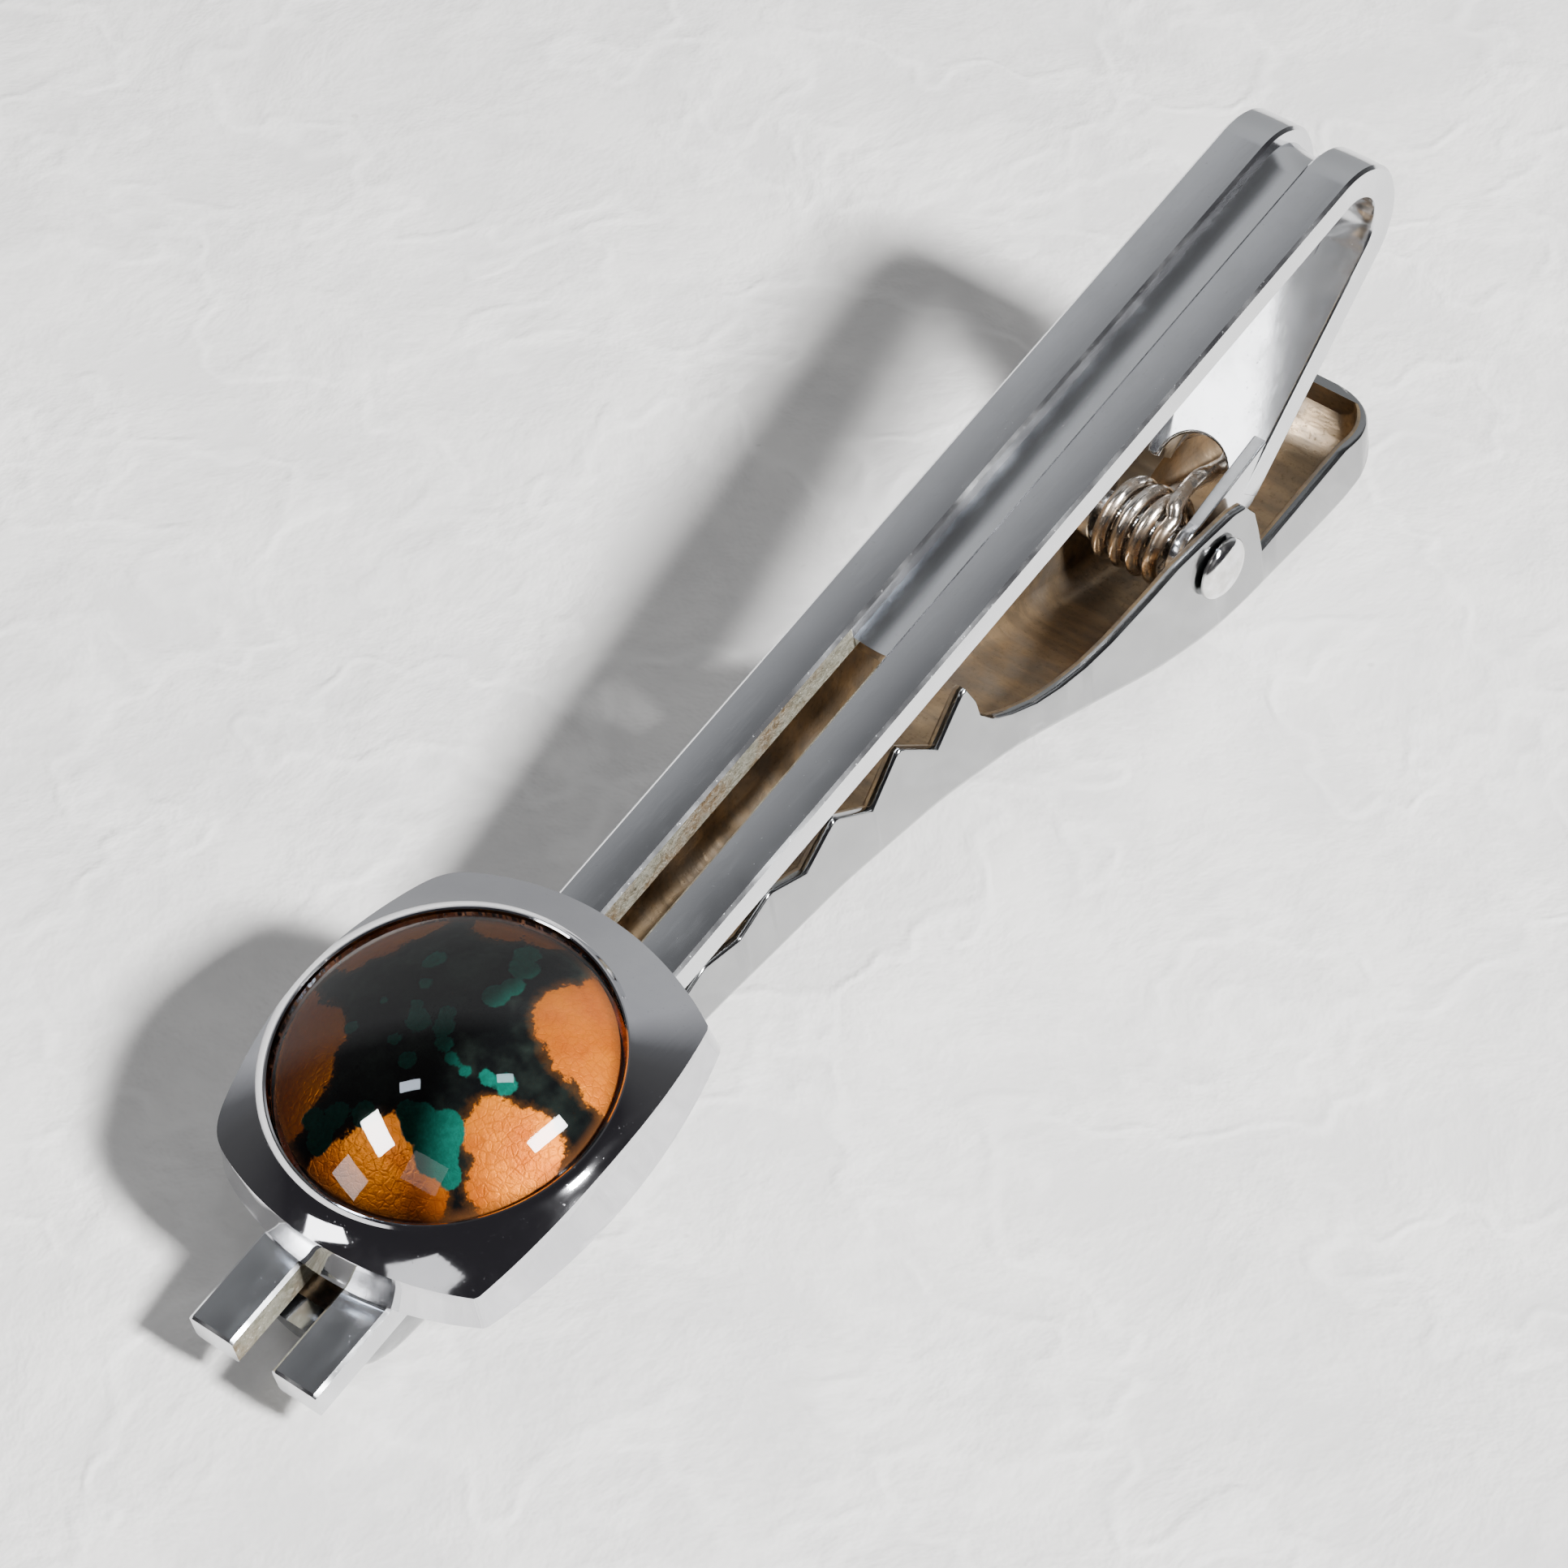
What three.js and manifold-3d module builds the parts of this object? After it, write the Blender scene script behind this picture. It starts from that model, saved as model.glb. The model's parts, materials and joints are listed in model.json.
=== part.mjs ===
// Tie clip with an alligator clasp: a two-rail front bar with an enamelled stone at its open end,
// bent back into a forked tongue that carries a sprung, toothed jaw on a rivet.
// Millimetres. The pieces are laid out in the clip's own frame: X runs along the bar from its open
// end to the bend, Y across it, and Z = 0 is the top of the rails. One outer group then lays the
// clip on its back on a table, as it lies when put down.
import * as THREE from 'three';
import * as BufferGeometryUtils from 'three/addons/utils/BufferGeometryUtils.js';
import Module from 'manifold-3d';

const wasm = await Module();
wasm.setup();

// ---- Front bar ----
const BAR_WIDTH = 5.4;
const RAIL_WIDTH = 1.85;
const BAR_THICK = 1.3;
const EDGE_CHAMFER = 0.25;        // on the long top edges of the rails
const SLOT_END = 33;
const WEB_SINK = 0.6;             // how far the web lies below the rails' faces
const BEND_START = 57.6;
const BEND_RADIUS = 2.9;          // outside of the bend
const BEND_ANGLE = rad(143);
const TONGUE_LENGTH = 10.4;
const TONGUE_END_WIDTH = 4.6;
const FORK_RADIUS = 1.45;
const EAR_THICK = 0.6;
const EAR_RADIUS = 1.35;
const EAR_ROOT = 7.6;             // where the ears spring from the tongue, measured from the bend

// ---- Pivot ----
const PIVOT = { x: 47.6, z: -10.7 };
const RIVET_RADIUS = 0.7;
const RIVET_HEAD_RADIUS = 1.25;
const RIVET_HEAD_HEIGHT = 0.6;
const HOLE_CLEARANCE = 0.1;
const WIRE_RADIUS = 0.3;
const COIL_RADIUS = 1.45;
const COIL_TURNS = 3.5;
const COIL_PITCH = 0.75;

// ---- Jaw ----
const LYING_TILT = rad(14.3);     // the bar's slope when the clip lies on its back
const BELLY = { start: 47, end: 49.2, z: -14.82 };   // the flat that lies on the table
const JAW_START = 2.1;
const JAW_END = 58.6;
const JAW_WALL = 0.5;
const JAW_CORNER = 1.25;
const NOSE_HALF_WIDTH = 2.3;
const JAW_HALF_WIDTH = 3.15;
const NOSE_ROUND = 0.9;
const THUMB_ROUND = 2.4;
const JAW_GAP = 0.1;              // daylight between the shut teeth and the bar
const TOOTH_PITCH = 3.5;
const LAST_VALLEY = 32.25;
const TOOTH_GAPS = 8;
// Height of the trough's outer bottom along the jaw, as [x, z].
const JAW_BOTTOM = [
  [2.1, -2.4], [2.5, -3.1], [3.2, -3.65], [4.5, -3.9], [14, -4.4], [20, -4.9], [27, -5.9],
  [32, -7.2], [36, -8.8], [40, -11.1], [43.5, -13.2], [46, -14.4], [BELLY.start, BELLY.z],
  [BELLY.end, BELLY.z - (BELLY.end - BELLY.start) * Math.tan(LYING_TILT)],
  [50, -15.45], [54, -16.15], [56, -16.35], [57.3, -16], [58.1, -15.4], [58.6, -14.7],
];

// ---- Stone and its cup ----
const STONE_X = 10.8;
const STONE_RADIUS = 5.85;
const CUP_CORNER = { x: 5.95, y: 5.5 };
const CUP_SIDE = { x: 7.1, y: 6.35 };   // how far out the bowed sides reach
const CUP_FLARE = 1.03;           // the skirt's foot against its top edge
const CUP_FOOT = 0.1;
const SKIRT_TOP = 1.5;
const LIP_TOP = 3.2;
const LIP_WIDTH = 0.3;
const SHELL_THICK = 0.45;
const PLATE_BOTTOM = 0.3;
const LAYER_GAP = 0.05;           // between stacked layers
const PLATE_THICK = 0.5;
const CEMENT_THICK = 0.7;
const COPPER_THICK = 0.4;
const ENAMEL_THICK = 0.25;
const GIRDLE_HEIGHT = 0.5;        // the dome's straight edge
const DOME_RISE = 1.9;
const SOLDER_LENGTH = 9;
const SOLDER_WIDTH = 1.4;

function rad(degrees) {
  return degrees * Math.PI / 180;
}

// ---- Finishes ----
const finishes = {
  chrome: { color: 0xc9cbce, roughness: 0.12, metalness: 1 },
  steel: { color: 0x9a958c, roughness: 0.3, metalness: 1 },
  solder: { color: 0x8b8a86, roughness: 0.5, metalness: 1 },
  copper: { color: 0xb06a3a, roughness: 0.4, metalness: 1 },
  enamel: { color: 0x1c6b55, roughness: 0.25, metalness: 0 },
  clear: { color: 0xf4f2ea, roughness: 0.03, metalness: 0, transparent: true, opacity: 0.35 },
  cement: { color: 0xcfc8b4, roughness: 0.85, metalness: 0 },
};

// ---- Solids ----
function solid(geometry) {
  const bare = geometry.index ? geometry.toNonIndexed() : geometry.clone();
  for (const name of Object.keys(bare.attributes)) {
    if (name !== 'position') bare.deleteAttribute(name);
  }
  const welded = BufferGeometryUtils.mergeVertices(bare, 1e-5);
  return new wasm.Manifold(new wasm.Mesh({
    numProp: 3,
    vertProperties: new Float32Array(welded.attributes.position.array),
    triVerts: new Uint32Array(welded.index.array),
  }));
}

function piece(name, body, finish) {
  const mesh = body.getMesh();
  const geometry = new THREE.BufferGeometry();
  geometry.setAttribute('position', new THREE.BufferAttribute(mesh.vertProperties, 3));
  geometry.setIndex(new THREE.BufferAttribute(mesh.triVerts, 1));
  const node = new THREE.Mesh(geometry, new THREE.MeshStandardMaterial(finishes[finish]));
  node.name = name;
  return node;
}

// A side outline given as [x, z] points, extruded across the clip from y = low to y = high.
function sideSlab(points, low, high) {
  const shape = new THREE.Shape(points.map(([x, z]) => new THREE.Vector2(x, z)));
  const geometry = new THREE.ExtrudeGeometry(shape, { depth: high - low, bevelEnabled: false });
  geometry.rotateX(Math.PI / 2);
  geometry.translate(0, high, 0);
  return solid(geometry);
}

function box(x0, x1, y0, y1, z0, z1) {
  const geometry = new THREE.BoxGeometry(x1 - x0, y1 - y0, z1 - z0);
  geometry.translate((x0 + x1) / 2, (y0 + y1) / 2, (z0 + z1) / 2);
  return solid(geometry);
}

function rodOnPivot(radius, halfLength) {
  const geometry = new THREE.CylinderGeometry(radius, radius, 2 * halfLength, 24);
  geometry.translate(PIVOT.x, 0, PIVOT.z);
  return solid(geometry);
}

// Skins equal-length rings of [x, y, z] points. An open row of rings is capped at both ends; a
// closed one joins its last ring to its first.
function skin(rings, closed) {
  const count = rings[0].length;
  const spans = closed ? rings.length : rings.length - 1;
  const faces = [];
  for (let i = 0; i < spans; i += 1) {
    const here = i * count;
    const next = ((i + 1) % rings.length) * count;
    for (let j = 0; j < count; j += 1) {
      const k = (j + 1) % count;
      faces.push(here + j, next + k, here + k, here + j, next + j, next + k);
    }
  }
  if (!closed) {
    const last = (rings.length - 1) * count;
    const outline = rings[0].map(([, y, z]) => new THREE.Vector2(y, z));
    for (const [a, b, c] of THREE.ShapeUtils.triangulateShape(outline, [])) {
      faces.push(c, b, a, last + a, last + b, last + c);
    }
  }
  const geometry = new THREE.BufferGeometry();
  geometry.setAttribute('position', new THREE.Float32BufferAttribute(rings.flat(2), 3));
  geometry.setIndex(faces);
  return solid(geometry);
}

function heightAt(table, x) {
  const next = table.findIndex(([at]) => at >= x);
  if (next <= 0) return next === 0 ? table[0][1] : table.at(-1)[1];
  const [x0, z0] = table[next - 1];
  const [x1, z1] = table[next];
  return z0 + (z1 - z0) * (x - x0) / (x1 - x0);
}

// ---- Front bar ----
// The outer face's route: straight, then round the bend. Each point carries the outward normal,
// so a face at any depth is an offset of one route.
function barRoute(fromX) {
  const steps = 20;
  const arc = Array.from({ length: steps + 1 }, (_, i) => {
    const turn = BEND_ANGLE * i / steps;
    const nx = Math.sin(turn);
    const nz = Math.cos(turn);
    return { x: BEND_START + BEND_RADIUS * nx, z: BEND_RADIUS * (nz - 1), nx, nz };
  });
  return [{ x: fromX, z: 0, nx: 0, nz: 1 }, ...arc];
}

const bendEnd = barRoute(0).at(-1);
const tongueAlong = new THREE.Vector3(Math.cos(BEND_ANGLE), 0, -Math.sin(BEND_ANGLE));

// The [x, z] of a point s along the tongue from the bend, at a depth below its outer face.
function onTongue(s, depth) {
  return [
    bendEnd.x + tongueAlong.x * s - bendEnd.nx * depth,
    bendEnd.z + tongueAlong.z * s - bendEnd.nz * depth,
  ];
}

// A length of the bent strip between two depths below its outer face.
function strip(fromX, tongueLength, outer, inner, halfWidth) {
  const face = depth => [
    ...barRoute(fromX).map(p => [p.x - p.nx * depth, p.z - p.nz * depth]),
    onTongue(tongueLength, depth),
  ];
  return sideSlab([...face(outer), ...face(inner).reverse()], -halfWidth, halfWidth);
}

// A cutter that goes square through the tongue: its outline is in (s, y).
function tongueCutter(shape) {
  const depth = 4 * BAR_THICK;
  const options = { depth, bevelEnabled: false, curveSegments: 16 };
  const geometry = new THREE.ExtrudeGeometry(shape, options);
  const across = new THREE.Vector3(0, 1, 0);
  const basis = new THREE.Matrix4().makeBasis(
    tongueAlong, across, tongueAlong.clone().cross(across));
  const [x, z] = onTongue(0, (depth + BAR_THICK) / 2);
  geometry.applyMatrix4(basis.setPosition(x, 0, z));
  return solid(geometry);
}

function tongueSideCut(side) {
  const wide = BAR_WIDTH / 2;
  const narrow = TONGUE_END_WIDTH / 2;
  const beyond = TONGUE_LENGTH + 1;
  const shape = new THREE.Shape();
  shape.moveTo(0, side * wide);
  shape.lineTo(TONGUE_LENGTH, side * narrow);
  shape.lineTo(beyond, side * narrow);
  shape.lineTo(beyond, side * (wide + 1));
  shape.lineTo(0, side * (wide + 1));
  return tongueCutter(shape);
}

function forkCut() {
  const shape = new THREE.Shape();
  shape.moveTo(TONGUE_LENGTH + 1, -FORK_RADIUS);
  shape.lineTo(TONGUE_LENGTH + 1, FORK_RADIUS);
  shape.lineTo(TONGUE_LENGTH - 0.1, FORK_RADIUS);
  shape.absarc(TONGUE_LENGTH - 0.1, 0, FORK_RADIUS, Math.PI / 2, 1.5 * Math.PI, false);
  return tongueCutter(shape);
}

// The ear: a prong of the fork bent to stand along the jaw's wall, round the rivet.
function tongueEar(side) {
  const from = rad(75);
  const sweep = rad(215);
  const steps = 14;
  const round = Array.from({ length: steps + 1 }, (_, i) => {
    const angle = from + sweep * i / steps;
    return [PIVOT.x + EAR_RADIUS * Math.cos(angle), PIVOT.z + EAR_RADIUS * Math.sin(angle)];
  });
  const outline = [
    onTongue(EAR_ROOT, BAR_THICK * 0.8),
    ...round,
    onTongue(TONGUE_LENGTH, 0.1),
    onTongue(EAR_ROOT, 0.1),
  ];
  const faces = [TONGUE_END_WIDTH / 2, TONGUE_END_WIDTH / 2 - EAR_THICK].map(y => side * y);
  return sideSlab(outline, Math.min(...faces), Math.max(...faces));
}

// A square bar laid on its edge along the rail's top corner, so that it cuts the chamfer.
function railChamfer(side) {
  const width = EDGE_CHAMFER * 4;
  const cutter = new THREE.BoxGeometry(2 * BEND_START, width, width);
  cutter.rotateX(Math.PI / 4);
  const reach = (width * Math.SQRT1_2 - EDGE_CHAMFER) / 2;
  cutter.translate(0, side * (BAR_WIDTH / 2 + reach), reach);
  return solid(cutter);
}

function frontBar() {
  const half = BAR_WIDTH / 2;
  const slotHalf = half - RAIL_WIDTH;
  const cuts = [
    box(-1, SLOT_END, -slotHalf, slotHalf, -2 * BAR_THICK, BAR_THICK),
    strip(SLOT_END - 0.01, 1, -0.5, WEB_SINK, slotHalf),
    forkCut(),
    ...[-1, 1].flatMap(side => [tongueSideCut(side), railChamfer(side)]),
  ];
  let bar = strip(0, TONGUE_LENGTH, 0, BAR_THICK, half);
  for (const cut of cuts) bar = bar.subtract(cut);
  for (const side of [-1, 1]) bar = bar.add(tongueEar(side));
  return bar.subtract(rodOnPivot(RIVET_RADIUS + HOLE_CLEARANCE, BAR_WIDTH));
}

// ---- Pivot ----
function pivotRivet() {
  const seat = JAW_HALF_WIDTH + HOLE_CLEARANCE;
  const steps = 6;
  const head = Array.from({ length: steps + 1 }, (_, i) => {
    const angle = rad(90) * i / steps;
    return [RIVET_HEAD_RADIUS * Math.cos(angle), seat + RIVET_HEAD_HEIGHT * Math.sin(angle)];
  });
  const upper = [[RIVET_RADIUS, seat], ...head];
  const lower = upper.map(([r, y]) => [r, -y]).reverse();
  const profile = [...lower, ...upper].map(([r, y]) => new THREE.Vector2(Math.max(r, 0), y));
  profile[0].x = 0;
  profile.at(-1).x = 0;
  const geometry = new THREE.LatheGeometry(profile, 24);
  geometry.translate(PIVOT.x, 0, PIVOT.z);
  return solid(geometry);
}

// The spring's wire: one arm hooks through the fork and bears on the tongue's back, the coil goes
// round the rivet, and the other arm bears on the floor of the jaw's thumb end.
function pivotSpring() {
  const halfCoil = COIL_TURNS * COIL_PITCH / 2;
  const hook = [[7.4, -0.45], [8.6, -0.45], [9.5, -0.2], [9.9, 0.9], [10.3, 2.4], [11.2, 3.75]];
  const hookY = [-0.35, -0.4, -0.5, -0.6, -0.8, -1.1];
  const arm = hook.map(([s, depth], i) => {
    const [x, z] = onTongue(s, depth);
    return new THREE.Vector3(x, hookY[i], z);
  });
  const stepsPerTurn = 14;
  const steps = COIL_TURNS * stepsPerTurn;
  const coil = Array.from({ length: steps + 1 }, (_, i) => {
    const angle = rad(90) + 2 * Math.PI * i / stepsPerTurn;
    return new THREE.Vector3(
      PIVOT.x + COIL_RADIUS * Math.cos(angle),
      -halfCoil + COIL_PITCH * i / stepsPerTurn,
      PIVOT.z + COIL_RADIUS * Math.sin(angle),
    );
  });
  const foot = [[50.2, -12.7], [52.6, -14.2], [54.6, -15.2]]
    .map(([x, z]) => new THREE.Vector3(x, halfCoil, z));
  const path = new THREE.CatmullRomCurve3([...arm, ...coil, ...foot]);
  const section = new THREE.Shape().absarc(0, 0, WIRE_RADIUS, 0, 2 * Math.PI);
  return solid(new THREE.ExtrudeGeometry(section, {
    extrudePath: path, steps: 110, curveSegments: 4, bevelEnabled: false,
  }));
}

// ---- Jaw ----
function jawHalfWidth(x) {
  const share = Math.min(1, Math.max(0, (x - JAW_START) / (44 - JAW_START)));
  const full = NOSE_HALF_WIDTH + (JAW_HALF_WIDTH - NOSE_HALF_WIDTH) * share;
  const intoNose = Math.max(0, JAW_START + NOSE_ROUND - x);
  const intoThumb = Math.max(0, x - (JAW_END - THUMB_ROUND));
  const pulledIn = (into, round) => round - Math.sqrt(Math.max(0, round ** 2 - into ** 2));
  return full - pulledIn(intoNose, NOSE_ROUND) - pulledIn(intoThumb, THUMB_ROUND);
}

// A U section of the trough at x, inset by the wall for the hollow, and closed above the rim.
function troughRing(x, inset, top) {
  const clamped = Math.min(JAW_END, Math.max(JAW_START, x));
  const half = jawHalfWidth(clamped) - inset;
  const bottom = heightAt(JAW_BOTTOM, clamped) + inset;
  const corner = Math.min(JAW_CORNER - inset / 2, half * 0.8);
  const steps = 5;
  const arc = Array.from({ length: steps + 1 }, (_, i) => {
    const angle = rad(90) * i / steps;
    return [half - corner + corner * Math.cos(angle), bottom + corner - corner * Math.sin(angle)];
  });
  const right = [[half, top], ...arc];
  const left = right.map(([y, z]) => [-y, z]).reverse();
  return [...right, ...left].map(([y, z]) => [x, y, z]);
}

function trough(from, to, inset, top) {
  const inner = JAW_BOTTOM.map(([x]) => x).filter(x => x > from + 0.2 && x < to - 0.2);
  return skin([from, ...inner, to].map(x => troughRing(x, inset, top)), false);
}

// The rim of the walls from nose to thumb end: teeth, then the scoop, the ears and the thumb rim.
function jawRim() {
  const underBar = -BAR_THICK - JAW_GAP;
  const teeth = [[JAW_START - 1, underBar]];
  for (let i = TOOTH_GAPS - 1; i >= 0; i -= 1) {
    const valley = LAST_VALLEY - i * TOOTH_PITCH;
    const tip = valley + TOOTH_PITCH / 2;
    const depth = Math.max(0.55, 2.2 - 0.62 * i);
    const sag = 0.02 * Math.max(0, tip - 27.5) ** 2;
    teeth.push([valley, underBar - depth], [tip - 0.1, underBar - sag], [tip + 0.1, underBar - sag]);
  }
  const scoop = [[34.4, -3.2], [34.5, -4.2], [35.1, -5.2], [36, -6], [37.3, -6.9], [38.6, -7.5],
    [40, -7.95], [41.5, -8.2], [45.5, -8.4]];
  const ears = [[47.3, -8.75], [48.9, -9.1], [49.6, -9.45], [50, -10.2], [50.15, -11.3],
    [50.05, -12.7]];
  const thumb = [[55.6, -12.8], [57.4, -13.3], [JAW_END + 1, -14.2]];
  return [...teeth, ...scoop, ...ears, ...thumb];
}

function jaw() {
  const top = 1;
  const below = -20;
  const underRim = [...jawRim(), [JAW_END + 1, below], [JAW_START - 1, below]];
  const outer = trough(JAW_START, JAW_END, 0, top);
  const hollow = trough(JAW_START + 1, JAW_END - JAW_WALL, JAW_WALL, top + 1);
  return outer
    .intersect(sideSlab(underRim.reverse(), -10, 10))
    .subtract(hollow)
    .subtract(rodOnPivot(RIVET_RADIUS + HOLE_CLEARANCE, 10));
}

// ---- Stone and its cup ----
// Distance from the stone's centre to the cushion outline, in the direction of an angle. Each side
// is one arc through its two corners.
function cushion(angle) {
  const [c, s] = [Math.abs(Math.cos(angle)), Math.abs(Math.sin(angle))];
  const onEnd = s * CUP_CORNER.x < c * CUP_CORNER.y;
  const [out, along] = onEnd ? [c, s] : [s, c];
  const chord = onEnd ? CUP_CORNER.y : CUP_CORNER.x;
  const side = onEnd ? CUP_SIDE.x : CUP_SIDE.y;
  const bow = side - (onEnd ? CUP_CORNER.x : CUP_CORNER.y);
  const radius = (chord ** 2 + bow ** 2) / (2 * bow);
  const centre = side - radius;
  return centre * out + Math.sqrt(radius ** 2 - (centre * along) ** 2);
}

function cupProfile(edge) {
  const lipOut = STONE_RADIUS + LAYER_GAP + LIP_WIDTH;
  const bore = STONE_RADIUS + LAYER_GAP;
  const steps = 4;
  const face = Array.from({ length: steps + 1 }, (_, i) => {
    const share = i / steps;
    const rise = Math.sin(rad(90) * share * 0.8) / Math.sin(rad(72));
    return [edge + (lipOut - edge) * share, SKIRT_TOP + (LIP_TOP - 0.25 - SKIRT_TOP) * rise];
  });
  const innerSkirt = Math.max(bore + 0.08, edge * CUP_FLARE - SHELL_THICK);
  return [
    [edge * CUP_FLARE, CUP_FOOT],
    ...face,
    [lipOut - 0.05, LIP_TOP],
    [bore, LIP_TOP],
    [bore, SKIRT_TOP + 0.1],
    [innerSkirt, SKIRT_TOP - 0.1],
    [innerSkirt, CUP_FOOT],
  ];
}

function bezel() {
  const around = 96;
  const rings = Array.from({ length: around }, (_, i) => {
    const angle = 2 * Math.PI * i / around;
    return cupProfile(cushion(angle)).map(([r, z]) => [
      STONE_X + r * Math.cos(angle), r * Math.sin(angle), z]);
  });
  return skin(rings, true);
}

function backPlate() {
  const around = 96;
  const shape = new THREE.Shape(Array.from({ length: around }, (_, i) => {
    const angle = 2 * Math.PI * i / around;
    const bore = STONE_RADIUS + LAYER_GAP;
    const inside = Math.max(bore + 0.08, cushion(angle) * CUP_FLARE - SHELL_THICK) - 0.08;
    return new THREE.Vector2(inside * Math.cos(angle), inside * Math.sin(angle));
  }));
  const options = { depth: PLATE_THICK, bevelEnabled: false };
  const geometry = new THREE.ExtrudeGeometry(shape, options);
  geometry.translate(STONE_X, 0, PLATE_BOTTOM);
  return solid(geometry);
}

// A round layer of the stone's stack, with a flat or a domed top.
function layer(bottom, height, rise = 0) {
  const top = bottom + height;
  const radius = STONE_RADIUS;
  const sphere = rise > 0 ? (radius ** 2 + rise ** 2) / (2 * rise) : 0;
  const steps = rise > 0 ? 12 : 1;
  const crown = Array.from({ length: steps }, (_, i) => {
    const r = radius * Math.cos(rad(90) * (i + 1) / steps);
    const z = rise > 0 ? top + rise - sphere + Math.sqrt(sphere ** 2 - r ** 2) : top;
    return new THREE.Vector2(i + 1 === steps ? 0 : r, z);
  });
  const profile = [
    new THREE.Vector2(0, bottom), new THREE.Vector2(radius, bottom),
    new THREE.Vector2(radius, top), ...crown,
  ];
  const geometry = new THREE.LatheGeometry(profile, 64);
  geometry.rotateX(Math.PI / 2);
  geometry.translate(STONE_X, 0, 0);
  return solid(geometry);
}

function solderPad(side) {
  const railMiddle = side * (BAR_WIDTH - RAIL_WIDTH) / 2;
  return box(STONE_X - SOLDER_LENGTH / 2, STONE_X + SOLDER_LENGTH / 2,
    railMiddle - SOLDER_WIDTH / 2, railMiddle + SOLDER_WIDTH / 2,
    LAYER_GAP, PLATE_BOTTOM - LAYER_GAP);
}

// ---- Assembly ----
const plateTop = PLATE_BOTTOM + PLATE_THICK;
const cementBottom = plateTop + LAYER_GAP;
const copperBottom = cementBottom + CEMENT_THICK + LAYER_GAP;
const enamelBottom = copperBottom + COPPER_THICK + LAYER_GAP;
const domeBottom = enamelBottom + ENAMEL_THICK + LAYER_GAP;

const lying = new THREE.Group();
lying.add(
  piece('front_bar', frontBar(), 'chrome'),
  piece('solder_pad_near', solderPad(-1), 'solder'),
  piece('solder_pad_far', solderPad(1), 'solder'),
  piece('back_plate', backPlate(), 'chrome'),
  piece('bezel', bezel(), 'chrome'),
  piece('cement_bed', layer(cementBottom, CEMENT_THICK), 'cement'),
  piece('copper_disc', layer(copperBottom, COPPER_THICK), 'copper'),
  piece('enamel_picture', layer(enamelBottom, ENAMEL_THICK), 'enamel'),
  piece('clear_dome', layer(domeBottom, GIRDLE_HEIGHT, DOME_RISE), 'clear'),
  piece('jaw', jaw(), 'chrome'),
  piece('pivot_rivet', pivotRivet(), 'steel'),
  piece('pivot_spring', pivotSpring(), 'steel'),
);
lying.rotation.y = -LYING_TILT;

// The table is at Z = 0 and the clip's middle is over the origin.
const clip = new THREE.Group();
clip.add(lying);
clip.updateMatrixWorld(true);
const extent = new THREE.Box3().setFromObject(clip, true);
const middle = extent.getCenter(new THREE.Vector3());
lying.position.set(-middle.x, -middle.y, -extent.min.z);

export default clip;
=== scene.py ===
"""A tie clip with an enamelled stone: a slotted bar bent round into a forked tongue, a cup soldered on
its open end, and a sprung, toothed jaw riveted to the tongue."""

import json
import math

import bmesh
import bpy
import numpy as np
from mathutils import Matrix, Vector


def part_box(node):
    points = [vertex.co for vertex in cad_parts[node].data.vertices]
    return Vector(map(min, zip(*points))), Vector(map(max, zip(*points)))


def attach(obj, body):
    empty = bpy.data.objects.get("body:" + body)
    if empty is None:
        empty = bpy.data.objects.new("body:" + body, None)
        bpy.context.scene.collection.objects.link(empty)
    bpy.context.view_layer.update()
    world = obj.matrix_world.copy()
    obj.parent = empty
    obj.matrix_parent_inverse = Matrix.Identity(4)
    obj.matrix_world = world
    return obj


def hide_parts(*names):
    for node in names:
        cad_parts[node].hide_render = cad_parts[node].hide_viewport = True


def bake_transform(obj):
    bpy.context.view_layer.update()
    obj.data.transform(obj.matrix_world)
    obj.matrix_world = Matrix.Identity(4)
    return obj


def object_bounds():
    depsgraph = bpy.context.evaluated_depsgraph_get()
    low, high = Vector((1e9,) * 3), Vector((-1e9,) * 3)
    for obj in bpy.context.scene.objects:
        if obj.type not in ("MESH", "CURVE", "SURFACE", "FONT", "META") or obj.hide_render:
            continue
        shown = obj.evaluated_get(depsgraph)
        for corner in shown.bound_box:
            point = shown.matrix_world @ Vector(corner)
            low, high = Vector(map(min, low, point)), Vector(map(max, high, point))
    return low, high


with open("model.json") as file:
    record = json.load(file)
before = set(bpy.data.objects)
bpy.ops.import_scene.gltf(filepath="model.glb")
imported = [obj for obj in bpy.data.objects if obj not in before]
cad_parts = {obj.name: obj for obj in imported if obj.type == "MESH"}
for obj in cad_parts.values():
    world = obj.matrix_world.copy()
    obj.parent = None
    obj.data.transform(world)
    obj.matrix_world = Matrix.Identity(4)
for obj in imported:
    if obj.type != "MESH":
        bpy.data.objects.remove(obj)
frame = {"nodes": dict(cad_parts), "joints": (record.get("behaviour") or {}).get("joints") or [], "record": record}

cad_box = [list(corner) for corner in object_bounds()]


# ---- Front bar ----
# One stamping of plated brass strip. The slot leaves two crowned rails; past it a thin web lies sunk
# between them. The strip is bent back on itself, and its forked end has two ears for the rivet.
# It is drawn in millimetres along its own length: x from the open end, y across, z = 0 its face.
BAR_THICK = 1.3
MM = 0.001
grip = next(mount for mount in frame["record"]["mounts"] if mount["name"] == "tie_grip")
slope = math.asin(grip["axis"][0])
bar_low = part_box("front_bar")[0]
open_end = Vector((bar_low.x, 0, bar_low.z + BAR_THICK * MM * math.cos(slope)))
to_table = Matrix.Translation(open_end) @ Matrix.Rotation(-slope, 4, "Y") @ Matrix.Scale(MM, 4)
to_clip = to_table.inverted()


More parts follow.
